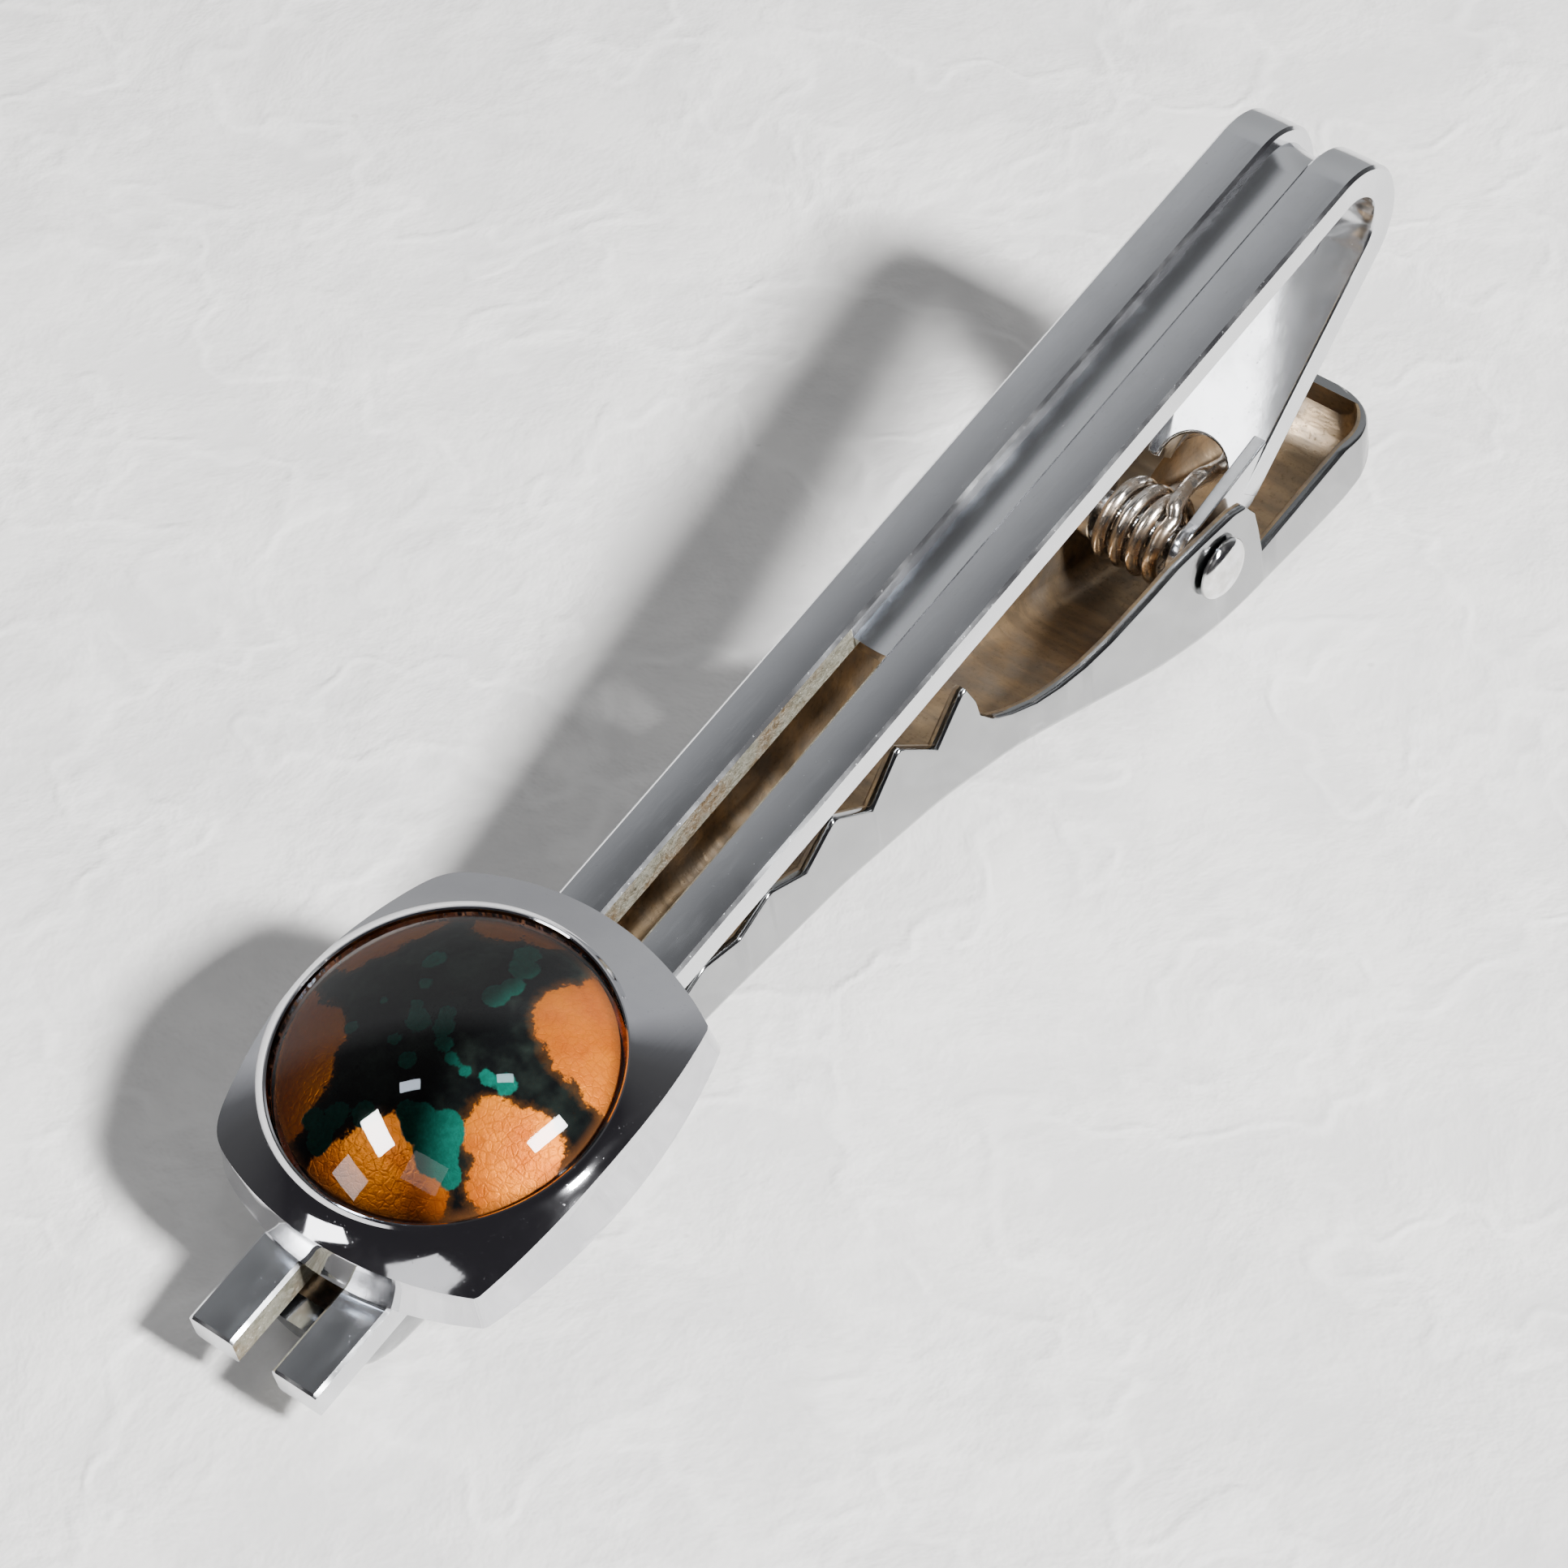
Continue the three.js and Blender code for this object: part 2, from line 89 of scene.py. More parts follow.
def finished(name, mesh, materials, body, replaced, crease=32):
    """Makes a piece from a mesh in the bar's frame: laid on the table, smoothed, given to its body."""
    mesh.name = name
    mesh.transform(to_table)
    piece = bpy.data.objects.new(name, mesh)
    bpy.context.scene.collection.objects.link(piece)
    for material in materials:
        mesh.materials.append(material)
    mesh.shade_smooth()
    mesh.set_sharp_from_angle(angle=math.radians(crease))
    weigh = piece.modifiers.new("weigh", "WEIGHTED_NORMAL")
    weigh.keep_sharp = True
    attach(piece, body)
    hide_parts(*replaced)


MERGE = 1e-5


def mesh_of(points, faces, face_materials=None):
    """A closed mesh: doubles merged, loose edges dropped and every face turned outwards."""
    mesh = bpy.data.meshes.new("part")
    mesh.from_pydata([tuple(p) for p in points], [], faces)
    if face_materials is not None:
        mesh.polygons.foreach_set("material_index", face_materials)
    shell = bmesh.new()
    shell.from_mesh(mesh)
    bmesh.ops.remove_doubles(shell, verts=shell.verts, dist=MERGE)
    bmesh.ops.delete(shell, geom=[e for e in shell.edges if not e.link_faces], context="EDGES")
    bmesh.ops.recalc_face_normals(shell, faces=shell.faces)
    shell.to_mesh(mesh)
    shell.free()
    return mesh


class Wire:
    """A shader socket that can be added, subtracted and multiplied; numbers may stand on either side."""

    def __init__(self, finish, socket):
        self.finish = finish
        self.socket = socket

    def maths(self, operation, *values):
        return self.finish.node("ShaderNodeMath", {"operation": operation}, dict(enumerate(values)))

    def __add__(self, other):
        return self.maths("ADD", self, other)

    __radd__ = __add__

    def __sub__(self, other):
        return self.maths("SUBTRACT", self, other)

    def __rsub__(self, other):
        return self.maths("SUBTRACT", other, self)

    def __mul__(self, other):
        return self.maths("MULTIPLY", self, other)

    __rmul__ = __mul__

    def step(self, low, high):
        """0 below low, 1 above high and smooth between; low may be above high."""
        return self.finish.node("ShaderNodeMapRange", {"interpolation_type": "SMOOTHSTEP"},
                                {"Value": self, "From Min": low, "From Max": high})


class Finish:
    """A material, or the room, being written: node() adds any node and surface() sets its shader."""

    def __init__(self, name, kind=bpy.data.materials, shader="Principled BSDF", output="Material Output"):
        self.material = kind.new(name)
        self.material.use_nodes = True
        self.tree = self.material.node_tree
        self.shader = self.tree.nodes[shader]
        self.output = self.tree.nodes[output]
        self.place = self.node("ShaderNodeTexCoord", {}, {}, "Object")

    def node(self, kind, settings, inputs, output=0):
        made = self.tree.nodes.new(kind)
        for key, value in settings.items():
            if key == "stops":
                ramp = made.color_ramp
                while len(ramp.elements) < len(value):
                    ramp.elements.new(0.5)
                for element, (position, colour) in zip(ramp.elements, value):
                    element.position = position
                    element.color = (*colour, 1)
            else:
                setattr(made, key, value)
        self.feed(made, inputs)
        return Wire(self, made.outputs[output])

    def feed(self, made, inputs):
        for key, value in inputs.items():
            if isinstance(value, Wire):
                self.tree.links.new(value.socket, made.inputs[key])
            elif isinstance(value, (tuple, list)) and len(value) == 3 and made.inputs[key].type == "RGBA":
                made.inputs[key].default_value = (*value, 1)
            else:
                made.inputs[key].default_value = value

    def surface(self, **inputs):
        self.feed(self.shader, {key.replace("_", " "): value for key, value in inputs.items()})

    def stored(self, name):
        """A value kept on the mesh's points."""
        return self.node("ShaderNodeAttribute", {"attribute_name": name}, {}, "Fac")

    def noise(self, size, detail, rough, place=None):
        """A noise whose features are about size millimetres across."""
        return self.node("ShaderNodeTexNoise", {}, {
            "Vector": place or self.place, "Scale": 1 / (size * MM), "Detail": detail,
            "Roughness": rough})

    def mix(self, share, first, second):
        return self.node("ShaderNodeMix", {"data_type": "RGBA"}, {0: share, 6: first, 7: second}, 2)

    def mapped(self, scale, turn):
        """The piece's own coordinates, turned and then squeezed or stretched."""
        return self.node("ShaderNodeMapping", {}, {
            "Vector": self.place, "Rotation": turn, "Scale": scale})

    def bump(self, height, microns, under=None):
        """A bump of some microns, laid over another one where that is given."""
        inputs = {"Height": height, "Strength": 1.0, "Distance": microns * 1e-6}
        if under is not None:
            inputs["Normal"] = under
        return self.node("ShaderNodeBump", {}, inputs)


def along_bar(finish, stretch):
    """Coordinates that run along the bar, squeezed lengthwise, for scratches and brush marks."""
    return finish.mapped((1 / stretch, 1, 1), (0, slope, 0))


def plated(name, colour, shade, gloss, dull, scratch, waviness=4.0, stretch=25):
    """Bright plate on stamped brass: smudged, finely scratched along its length and a little uneven."""
    finish = Finish(name)
    smudge = finish.noise(3.5, 4, 0.6).step(0.35, 0.7)
    lines = finish.noise(0.9, 3, 0.65, along_bar(finish, stretch)).step(0.45, 0.75)
    specks = finish.noise(0.12, 2, 0.6).step(0.66, 0.76)
    finish.surface(
        Base_Color=finish.mix(smudge * 0.5 + specks * 0.5, colour, shade),
        Metallic=1.0,
        Roughness=gloss + (dull - gloss) * (smudge * 0.6 + lines * 0.4) + specks * 0.1,
    )
    sway = finish.bump(finish.noise(waviness, 1, 0.4), 14)
    finish.surface(Normal=finish.bump(lines + specks * 0.5, scratch, sway))
    return finish.material


BAR_WIDTH = 5.4
RAIL_WIDTH = 1.85
EDGE = 0.12
CROWN = 0.018
END_CHAMFER = 0.1
GROOVE_DISH = 0.16
SLOT_END = 33.0
WEB_SINK = 0.6
BEND_START = 57.6
BEND_RADIUS = 2.9
BEND_ANGLE = math.radians(143)
BEND_LENGTH = BEND_RADIUS * BEND_ANGLE
TONGUE_LENGTH = 10.4
TONGUE_END_WIDTH = 4.6
TONGUE_INSET = 0.012
TONGUE_BEVEL = 0.14
GROOVE_RUNOUT = 1.0
FORK_RADIUS = 1.45
EAR_THICK = 0.6
EAR_RADIUS = 1.35
EAR_ROOT = 7.6
EAR_BEVEL = 0.08


def on_strip(s, y, depth):
    """A point s along the strip's outer face from the open end, at a depth below that face."""
    turn = min(max((s - BEND_START) / BEND_RADIUS, 0), BEND_ANGLE)
    straight = min(s, BEND_START)
    past = max(0, s - BEND_START - BEND_LENGTH)
    out = BEND_RADIUS - depth
    x = straight + out * math.sin(turn) + past * math.cos(turn)
    z = out * math.cos(turn) - BEND_RADIUS - past * math.sin(turn)
    return (x, y, z)


def on_tongue(s, depth):
    """A point (x, z) on the tongue, s past the end of the bend."""
    x, _, z = on_strip(BEND_START + BEND_LENGTH + s, 0, depth)
    return (x, z)


def swept(profile, stations):
    """A closed bar of one [y, depth] profile. A station is its s, its least depth and its narrowing."""
    count = len(profile)
    points = [on_strip(s, y * narrowing, max(depth, least)) for s, least, narrowing in stations
              for y, depth in profile]
    faces = [tuple(range(count)), tuple(range((len(stations) - 1) * count, len(stations) * count))]
    for i in range(len(stations) - 1):
        for j in range(count):
            k = (j + 1) % count
            faces.append((i * count + j, i * count + k, (i + 1) * count + k, (i + 1) * count + j))
    return mesh_of(points, faces)


def rail_profile(side):
    """Round the rail: inner edge, crowned top, outer edge, then the underside."""
    inner = BAR_WIDTH / 2 - RAIL_WIDTH
    outer = BAR_WIDTH / 2
    middle = (inner + outer) / 2
    half = RAIL_WIDTH / 2 - EDGE
    top = [(middle + half * share, CROWN * share * share) for share in np.linspace(-1, 1, 9)]
    bottom = BAR_THICK
    outline = [(inner, EDGE + CROWN), *top, (outer, EDGE + CROWN),
               (outer, bottom - 0.15), (outer - 0.05, bottom - 0.05), (outer - 0.15, bottom),
               (inner + 0.12, bottom), (inner + 0.04, bottom - 0.04), (inner, bottom - 0.12)]
    return [(side * y, depth) for y, depth in outline]


def strip_stations(start, end, end_chamfer):
    """Stations down the strip: a chamfered start, the straight, the bend in fine steps, the tongue."""
    bend_end = BEND_START + BEND_LENGTH
    straight = list(np.linspace(start + 1, BEND_START, 24))
    bend = list(np.linspace(BEND_START, bend_end, 56))[1:]
    stations = [(start, end_chamfer, 1.0), (start + END_CHAMFER, 0.0, 1.0)]
    for s in straight + bend + [bend_end + 0.5, end]:
        share = max(0, s - bend_end) / TONGUE_LENGTH
        stations.append((s, 0.0, 1 - share * (1 - TONGUE_END_WIDTH / BAR_WIDTH)))
    return stations


def slab(outline, low, high, place, bevel):
    """A flat plate from an outline, its rims rounded; place maps (u, v, height) to the bar's frame."""
    plate = bmesh.new()
    rings = [[plate.verts.new((u, v, h)) for u, v in outline] for h in (low, high)]
    plate.faces.new(rings[0])
    plate.faces.new(rings[1])
    for i in range(len(outline)):
        j = (i + 1) % len(outline)
        plate.faces.new((rings[0][i], rings[0][j], rings[1][j], rings[1][i]))
    bmesh.ops.recalc_face_normals(plate, faces=plate.faces)
    rims = [e for e in plate.edges if abs(e.verts[0].co.z - e.verts[1].co.z) < 1e-9]
    bmesh.ops.bevel(plate, geom=rims, offset=bevel, offset_type="OFFSET", segments=3,
                    profile=0.5, affect="EDGES", clamp_overlap=True)
    for vertex in plate.verts:
        vertex.co = place(*vertex.co)
    bmesh.ops.recalc_face_normals(plate, faces=plate.faces)
    mesh = bpy.data.meshes.new("plate")
    plate.to_mesh(mesh)
    plate.free()
    return mesh


def tongue_plate():
    """The strip past the bend, narrowing to a forked end with a round arch between its prongs."""
    half = BAR_WIDTH / 2
    narrow = TONGUE_END_WIDTH / 2
    start = GROOVE_RUNOUT
    wide = half - (half - narrow) * start / TONGUE_LENGTH
    arch_at = TONGUE_LENGTH - 0.1
    arch = [(arch_at - FORK_RADIUS * math.sin(a), FORK_RADIUS * math.cos(a))
            for a in np.linspace(0, math.pi, 25)]
    tip = narrow - 0.3
    outline = [(start, wide), (TONGUE_LENGTH - 0.3, narrow), (TONGUE_LENGTH, tip), *arch,
               (TONGUE_LENGTH, -tip), (TONGUE_LENGTH - 0.3, -narrow), (start, -wide)]
    outline = [(s, y * 0.995) for s, y in outline]

    def place(s, y, depth):
        return on_strip(BEND_START + BEND_LENGTH + s, y, depth)

    return slab(outline, TONGUE_INSET, BAR_THICK - TONGUE_INSET, place, TONGUE_BEVEL)


def ear(side):
    """One prong's ear: bent to stand along the clip, and rounded about the rivet."""
    pivot_x, pivot_z = pivot.x, pivot.z
    outline = [on_tongue(EAR_ROOT, BAR_THICK * 0.8)]
    for a in np.radians(np.linspace(75, 290, 30)):
        outline.append((pivot_x + EAR_RADIUS * math.cos(a), pivot_z + EAR_RADIUS * math.sin(a)))
    outline += [on_tongue(TONGUE_LENGTH, 0.1), on_tongue(EAR_ROOT, 0.1)]
    outer = side * (TONGUE_END_WIDTH / 2 - 0.03)
    inner = side * (TONGUE_END_WIDTH / 2 - EAR_THICK)
    return slab(outline, min(inner, outer), max(inner, outer), lambda x, z, y: (x, y, z), EAR_BEVEL)


def fused(meshes, operation="UNION"):
    """The first mesh with the others joined to it, or cut from it, as one closed solid."""
    objects = [bpy.data.objects.new("solid", mesh) for mesh in meshes]
    for solid in objects:
        bpy.context.scene.collection.objects.link(solid)
    for other in objects[1:]:
        boolean = objects[0].modifiers.new("join", "BOOLEAN")
        boolean.operation = operation
        boolean.solver = "MANIFOLD"
        boolean.object = other
    shaped = objects[0].evaluated_get(bpy.context.evaluated_depsgraph_get())
    result = bpy.data.meshes.new_from_object(shaped)
    for solid in objects:
        bpy.data.objects.remove(solid)
    # The join adds an empty material slot, which would push every finish along by one.
    face_materials = [face.material_index for face in result.polygons]
    result.materials.clear()
    result.polygons.foreach_set("material_index", face_materials)
    return result


hinge = frame["joints"][0]
pivot = to_clip @ Vector(hinge["pos_m"])
end_of_rails = BEND_START + BEND_LENGTH + GROOVE_RUNOUT + 0.4
web_half = BAR_WIDTH / 2 - RAIL_WIDTH + 0.08
web_profile = [(web_half * share, WEB_SINK + GROOVE_DISH * (1 - share * share))
               for share in np.linspace(-1, 1, 11)]
web_profile += [(web_half, BAR_THICK - 0.01), (-web_half, BAR_THICK - 0.01)]
bar_mesh = fused([
    swept(rail_profile(1), strip_stations(0, end_of_rails, END_CHAMFER)),
    swept(rail_profile(-1), strip_stations(0, end_of_rails, END_CHAMFER)),
    swept(web_profile, strip_stations(SLOT_END, end_of_rails, 0)),
    tongue_plate(), ear(1), ear(-1)])
for face in bar_mesh.polygons:
    x, y, z = face.center
    if x < SLOT_END and abs(face.normal.y) > 0.8 and abs(y) < BAR_WIDTH / 2 - RAIL_WIDTH + 0.02:
        face.material_index = 1


def slot_wall():
    """The sawn walls of the slot, where the plate is thin: their dark olive and brown is painted shade inside the
    narrow slot, mottled by a stain.
    """
    finish = Finish("slot wall")
    rough = finish.noise(0.25, 5, 0.7).step(0.3, 0.7)
    stain = finish.noise(2.2, 3, 0.6).step(0.4, 0.65)
    glint = finish.noise(0.11, 1, 0.5).step(0.68, 0.74)
    # Painted shade: dark olive and brown for the shade inside the slot, mixed by a stain.
    stain_and_shade = finish.mix(stain, (0.20, 0.19, 0.14), (0.16, 0.10, 0.045))
    finish.surface(
        Base_Color=finish.mix(glint, finish.mix(rough * 0.6, stain_and_shade, (0.36, 0.35, 0.30)),
                              (0.8, 0.78, 0.7)),
        Metallic=0.75 + glint * 0.25, Roughness=0.55 - glint * 0.35 + rough * 0.1)
    finish.surface(Normal=finish.bump(rough + stain, 40))
    return finish.material


bar_plate = plated("bar plate", (0.66, 0.67, 0.69), (0.56, 0.57, 0.58), 0.11, 0.24, 1.0)
finished("bar", bar_mesh, [bar_plate, slot_wall()], "bar", ["front_bar"])


# ---- Cup ----
# A cushion-shaped cup, pressed from brass sheet, polished and plated. A thin lip closes round the
# stone; the face falls away from it to a crisp edge, and a short flared skirt stands on the rails.
STONE_X = 10.8
STONE_RADIUS = 5.85
CUP_CENTRE = np.array([11.05, -0.1])
CORNER = (6.0, 5.6)
SIDE = (7.4, 6.5)
FLARE = 0.2
FOOT = 0.1
FACE_FALL = 0.72
FACE_CURVE = 0.72
LIP_TOP = 3.0
LIP_WIDTH = 0.16
SHELL = 0.45
BORE = STONE_RADIUS + 0.05


def cushion(angle):
    """Distance from the cup's centre to the cushion's edge: each side is an arc through two corners."""
    c, s = abs(math.cos(angle)), abs(math.sin(angle))
    on_end = s * CORNER[0] < c * CORNER[1]
    out, along = (c, s) if on_end else (s, c)
    chord, side = (CORNER[1], SIDE[0]) if on_end else (CORNER[0], SIDE[1])
    bow = side - (CORNER[0] if on_end else CORNER[1])
    radius = (chord ** 2 + bow ** 2) / (2 * bow)
    centre = side - radius
    return centre * out + math.sqrt(radius ** 2 - (centre * along) ** 2)


def softened(angle, spread):
    """The cushion's edge with its corners rubbed down over a spread of angles."""
    weights = [1 - abs(k) / 6 for k in range(-5, 6)]
    reach = [cushion(angle + spread * k / 5) for k in range(-5, 6)]
    return sum(w * r for w, r in zip(weights, reach)) / sum(weights)


def cup_section(angle):
    """The cup's wall at one angle as (x, y, z), from the foot up the outside and down the inside.
    The face is one turned dome, so its edge dips at the corners and rises between them."""
    way = np.array([math.cos(angle), math.sin(angle)])
    far = 0.5 + 0.5 * math.tanh(6 * math.sin(angle))
    edge = CUP_CENTRE + way * softened(angle, math.radians(0.8 + 7 * far))
    middle = np.array([STONE_X, 0])
    lip = middle + way * (BORE + LIP_WIDTH)
    hole = middle + way * BORE

    def face_at(point):
        out = max(0, np.linalg.norm(point - middle) - BORE - LIP_WIDTH)
        return LIP_TOP - 0.06 - FACE_FALL * out ** FACE_CURVE

    top = face_at(edge)
    rows = [(edge + way * (FLARE - 0.08), FOOT), (edge + way * FLARE, FOOT + 0.06),
            (edge + way * FLARE * 0.7, FOOT + 0.35), (edge + way * FLARE * 0.2, top - 0.5),
            (edge + way * 0.01, top - 0.04)]
    for share in np.linspace(0.0, 1, 18) ** 0.8:
        point = edge + (lip - edge) * share
        rows.append((point, face_at(point)))
    rows += [(lip - way * 0.05, LIP_TOP - 0.01), (lip - way * 0.1, LIP_TOP), (hole, LIP_TOP - 0.04),
             (hole, LIP_TOP - 1.0)]
    inner = edge - way * SHELL
    if np.linalg.norm(inner - middle) < BORE + 0.08:
        inner = middle + way * (BORE + 0.08)
    rows += [(inner, LIP_TOP - 1.5), (inner + way * FLARE * 0.6, FOOT)]
    return [(x, y, z) for (x, y), z in rows]


def cup_mesh():
    """The wall's sections joined in a ring."""
    around = 288
    sections = [cup_section(2 * math.pi * i / around) for i in range(around)]
    rows = len(sections[0])
    faces = []
    for i in range(around):
        for j in range(rows):
            k, n = (j + 1) % rows, (i + 1) % around
            faces.append((i * rows + j, i * rows + k, n * rows + k, n * rows + j))
    return mesh_of([p for section in sections for p in section], faces)


cup_plate = plated("cup plate", (0.64, 0.64, 0.66), (0.54, 0.54, 0.57), 0.03, 0.10, 0.6, 5.0, 6)
finished("cup", cup_mesh(), [cup_plate], "bar", ["bezel"], 28)


# ---- Back plate and solder ----
# A brass plate closes the cup's back. Grey soft solder holds it to the two rails, in one lumpy bead
# on each, drawn to a point at both ends.
BEAD_HALF_WIDTH = 0.72
BEAD_HALF_HEIGHT = 0.14
BEAD_TAPER = 9


def solder_grey():
    finish = Finish("soft solder")
    lump = finish.noise(0.5, 4, 0.6).step(0.3, 0.7)
    bright = finish.noise(0.3, 2, 0.5).step(0.55, 0.65)
    finish.surface(Base_Color=finish.mix(bright, (0.34, 0.34, 0.34), (0.72, 0.72, 0.70)), Metallic=0.95,
                   Roughness=0.42 - bright * 0.25)
    finish.surface(Normal=finish.bump(lump, 60))
    return finish.material


def solder_run(side):
    """A solder bead as a lumpy bar between a rail and the back plate, with its ends drawn to a point."""
    start, end = STONE_X - 6.3, STONE_X + 5.2
    around, along = 20, 60
    points = []
    for i in range(along):
        share = i / (along - 1)
        x = start + (end - start) * share
        from_end = share if share < 0.5 else 1 - share
        swell = 1 - (1 - min(1, from_end * BEAD_TAPER)) ** 2
        for j in range(around):
            angle = 2 * math.pi * j / around
            ripple = 1 + 0.18 * math.sin(3.1 * x + 2 * angle + side) * math.sin(1.7 * x + angle)
            y = side * (BAR_WIDTH - RAIL_WIDTH) / 2 + BEAD_HALF_WIDTH * swell * ripple * math.cos(angle)
            z = 0.15 + BEAD_HALF_HEIGHT * swell * ripple * math.sin(angle)
            points.append((x, y, z))
    faces = [tuple(range(around)), tuple(range((along - 1) * around, along * around))]
    for i in range(along - 1):
        for j in range(around):
            k = (j + 1) % around
            faces.append((i * around + j, i * around + k, (i + 1) * around + k, (i + 1) * around + j))
    return mesh_of(points, faces)


solder = solder_grey()
for side, node in ((-1, "solder_pad_near"), (1, "solder_pad_far")):
    finished("solder_" + node.split("_")[-1], solder_run(side), [solder], "bar", [node], 60)
frame["nodes"]["back_plate"].data.materials.clear()
frame["nodes"]["back_plate"].data.materials.append(bar_plate)


# ---- Stone ----
# A fired enamel picture on a copper disc, bedded in pale cement, under a clear domed top. The enamel is
# black, with drops of green in it, and fields of gold flux run in from its rim.
DOME_FOOT = 2.35
DOME_SHOULDER = 2.85
DOME_TOP = 4.75
CLEAR_THICK = 0.2
ENAMEL_FOOT = 2.07
BOND_GAP = 0.03
CRACKLE_SCALE = 3300.0
# Each drop or field is (x, y, radius) from the middle of the stone.
GOLD_FIELDS = [
    (-1.9, 4.2, 1.4), (-3.2, 3.7, 1.4), (-4.3, 3.3, 1.1), (-1.2, 5.6, 1.0), (2.5, 4.9, 1.0),
    (3.8, 4.5, 1.1), (1.5, 5.2, 0.7), (5.3, 1.8, 1.0), (5.9, 0.5, 0.9), (3.6, -3.1, 1.6),
    (2.9, -3.9, 1.4), (2.2, -5.1, 0.9), (5.0, -2.9, 1.0), (-1.4, -3.5, 1.1), (-1.2, -4.4, 1.2),
    (-2.6, -4.5, 1.1), (-3.2, -0.5, 0.5), (-4.5, -0.8, 1.6), (-5.3, 0.2, 1.2), (-4.6, -2.0, 1.4),
]
GREEN_DROPS = [
    (2.5, 2.3, 0.4), (4.5, 0.1, 0.45), (3.9, -0.3, 0.5), (3.0, -0.6, 0.43), (2.4, -0.45, 0.48),
    (1.5, 1.8, 0.24), (0.2, 0.95, 0.44), (0.65, 1.4, 0.24), (0.9, 0.33, 0.34), (0.45, 0.05, 0.4),
    (0, -0.3, 0.3), (-0.3, -0.9, 0.28), (-0.4, -1.5, 0.24), (-0.2, -2.2, 0.28), (0, -2.75, 0.38),
    (-0.7, 1.2, 0.24), (-1.1, 0.3, 0.34), (-1.0, 2.9, 0.27), (0.3, 2.6, 0.17), (-4.1, 2.1, 0.4),
    (-3.7, 1.4, 0.45), (-3.3, 0.5, 0.42), (-4.5, 1.5, 0.5), (-2.6, -1.3, 0.65), (-2.3, -2.1, 0.66),
    (-3.0, -2.3, 0.75), (-3.3, -3.0, 0.4), (-2.5, -0.7, 0.35),
]


def dome_outline(radius, foot, shoulder, top):
    """A low dome on a straight wall as (radius, height), from the foot up to the middle."""
    rise = top - shoulder
    sphere = (radius ** 2 + rise ** 2) / (2 * rise)
    rows = [(radius * math.cos(a), top - sphere + math.sqrt(sphere ** 2 - (radius * math.cos(a)) ** 2))
            for a in np.linspace(0, math.pi / 2, 40)[:-1]]
    return [(radius, foot), *rows, (0.0, top)]


def turned(profile, around=160, closed=False):
    """A solid turned on the stone's axis from (radius, height) points."""
    points, faces = [], []
    for angle in np.arange(around) * 2 * math.pi / around:
        points += [(STONE_X + r * math.cos(angle), r * math.sin(angle), z) for r, z in profile]
    rows = len(profile)
    for i in range(around):
        for j in range(rows if closed else rows - 1):
            k, n = (j + 1) % rows, (i + 1) % around
            faces.append((i * rows + j, i * rows + k, n * rows + k, n * rows + j))
    return mesh_of(points, faces)


def mark_depth(mesh, name, circles):
    """Stores how far inside the nearest of some round drops each point lies, in millimetres."""
    depth = [max(r - math.hypot(v.co.x - STONE_X - x, v.co.y - y) for x, y, r in circles)
             for v in mesh.vertices]
    mesh.attributes.new(name, "FLOAT", "POINT").data.foreach_set("value", depth)


def fired_enamel():
    """Black enamel, green drops and grainy gold flux, with painted light: the gold is painted lit on the side
    nearest the lamp and shaded away from it, its crackle shows only on the lit side, and the black is painted
    hazier on the far side.
    """
    finish = Finish("fired enamel")
    ragged = finish.noise(0.9, 6, 0.75) - 0.5
    fine = finish.noise(0.22, 3, 0.7) - 0.5
    gold_field = (finish.stored("gold_depth") + ragged * 1.1 + fine * 0.35).step(-0.06, 0.08)
    green_field = (finish.stored("green_depth") + ragged * 0.55 + fine * 0.1).step(-0.03, 0.05)
    near_light = finish.stored("toward_light")
    grain = finish.noise(0.25, 4, 0.75).step(0.3, 0.72)
    crackle = finish.node("ShaderNodeTexVoronoi", {"feature": "DISTANCE_TO_EDGE"}, {
        "Vector": finish.place, "Scale": CRACKLE_SCALE}, "Distance").step(0.0, 0.13)
    patch = finish.noise(2.4, 2, 0.5).step(0.38, 0.62)
    # Painted light: dull is the shaded gold and lit_gold the lit one, blended by toward_light.
    dull = finish.mix(patch, (0.30, 0.080, 0.010), (0.33, 0.105, 0.006))
    lit_gold = finish.mix(patch, (0.34, 0.070, 0.002), (0.60, 0.17, 0.0))
    gold = finish.mix(near_light, dull, lit_gold)
    gold = finish.mix(grain * 0.35, gold, (0.45, 0.13, 0.02))
    # Painted light: the dark crackle lines are painted only on the side nearest the lamp, where the light picks
    # them out.
    gold = finish.mix((1 - crackle) * near_light * 0.35, gold, (0.16, 0.04, 0.004))
    # Painted sheen: lighter, murky patches in the black, painted only on the side away from the lamp, where the
    # room is light.
    murk_and_sheen = finish.noise(1.6, 3, 0.6).step(0.42, 0.72)
    black = finish.mix(murk_and_sheen * (1 - near_light), (0.003, 0.0035, 0.004), (0.026, 0.038, 0.032))
    green = finish.mix(grain, (0.003, 0.075, 0.055), (0.007, 0.11, 0.085))
    edge = (finish.stored("gold_depth") + ragged * 1.1).step(-0.35, -0.02)
    black = finish.mix(edge * 0.35, black, (0.10, 0.04, 0.01))
    colour = finish.mix(green_field, finish.mix(gold_field, black, gold), green)
    rim = finish.stored("rim")
    finish.surface(Base_Color=finish.mix(rim * 0.75, colour, (0.09, 0.035, 0.012)),
                   Metallic=gold_field * (1 - green_field) * 0.25, Roughness=0.48 - gold_field * 0.1,
                   Specular_IOR_Level=0.0)
    finish.surface(Normal=finish.bump(grain + crackle * 0.5, 8))
    return finish.material


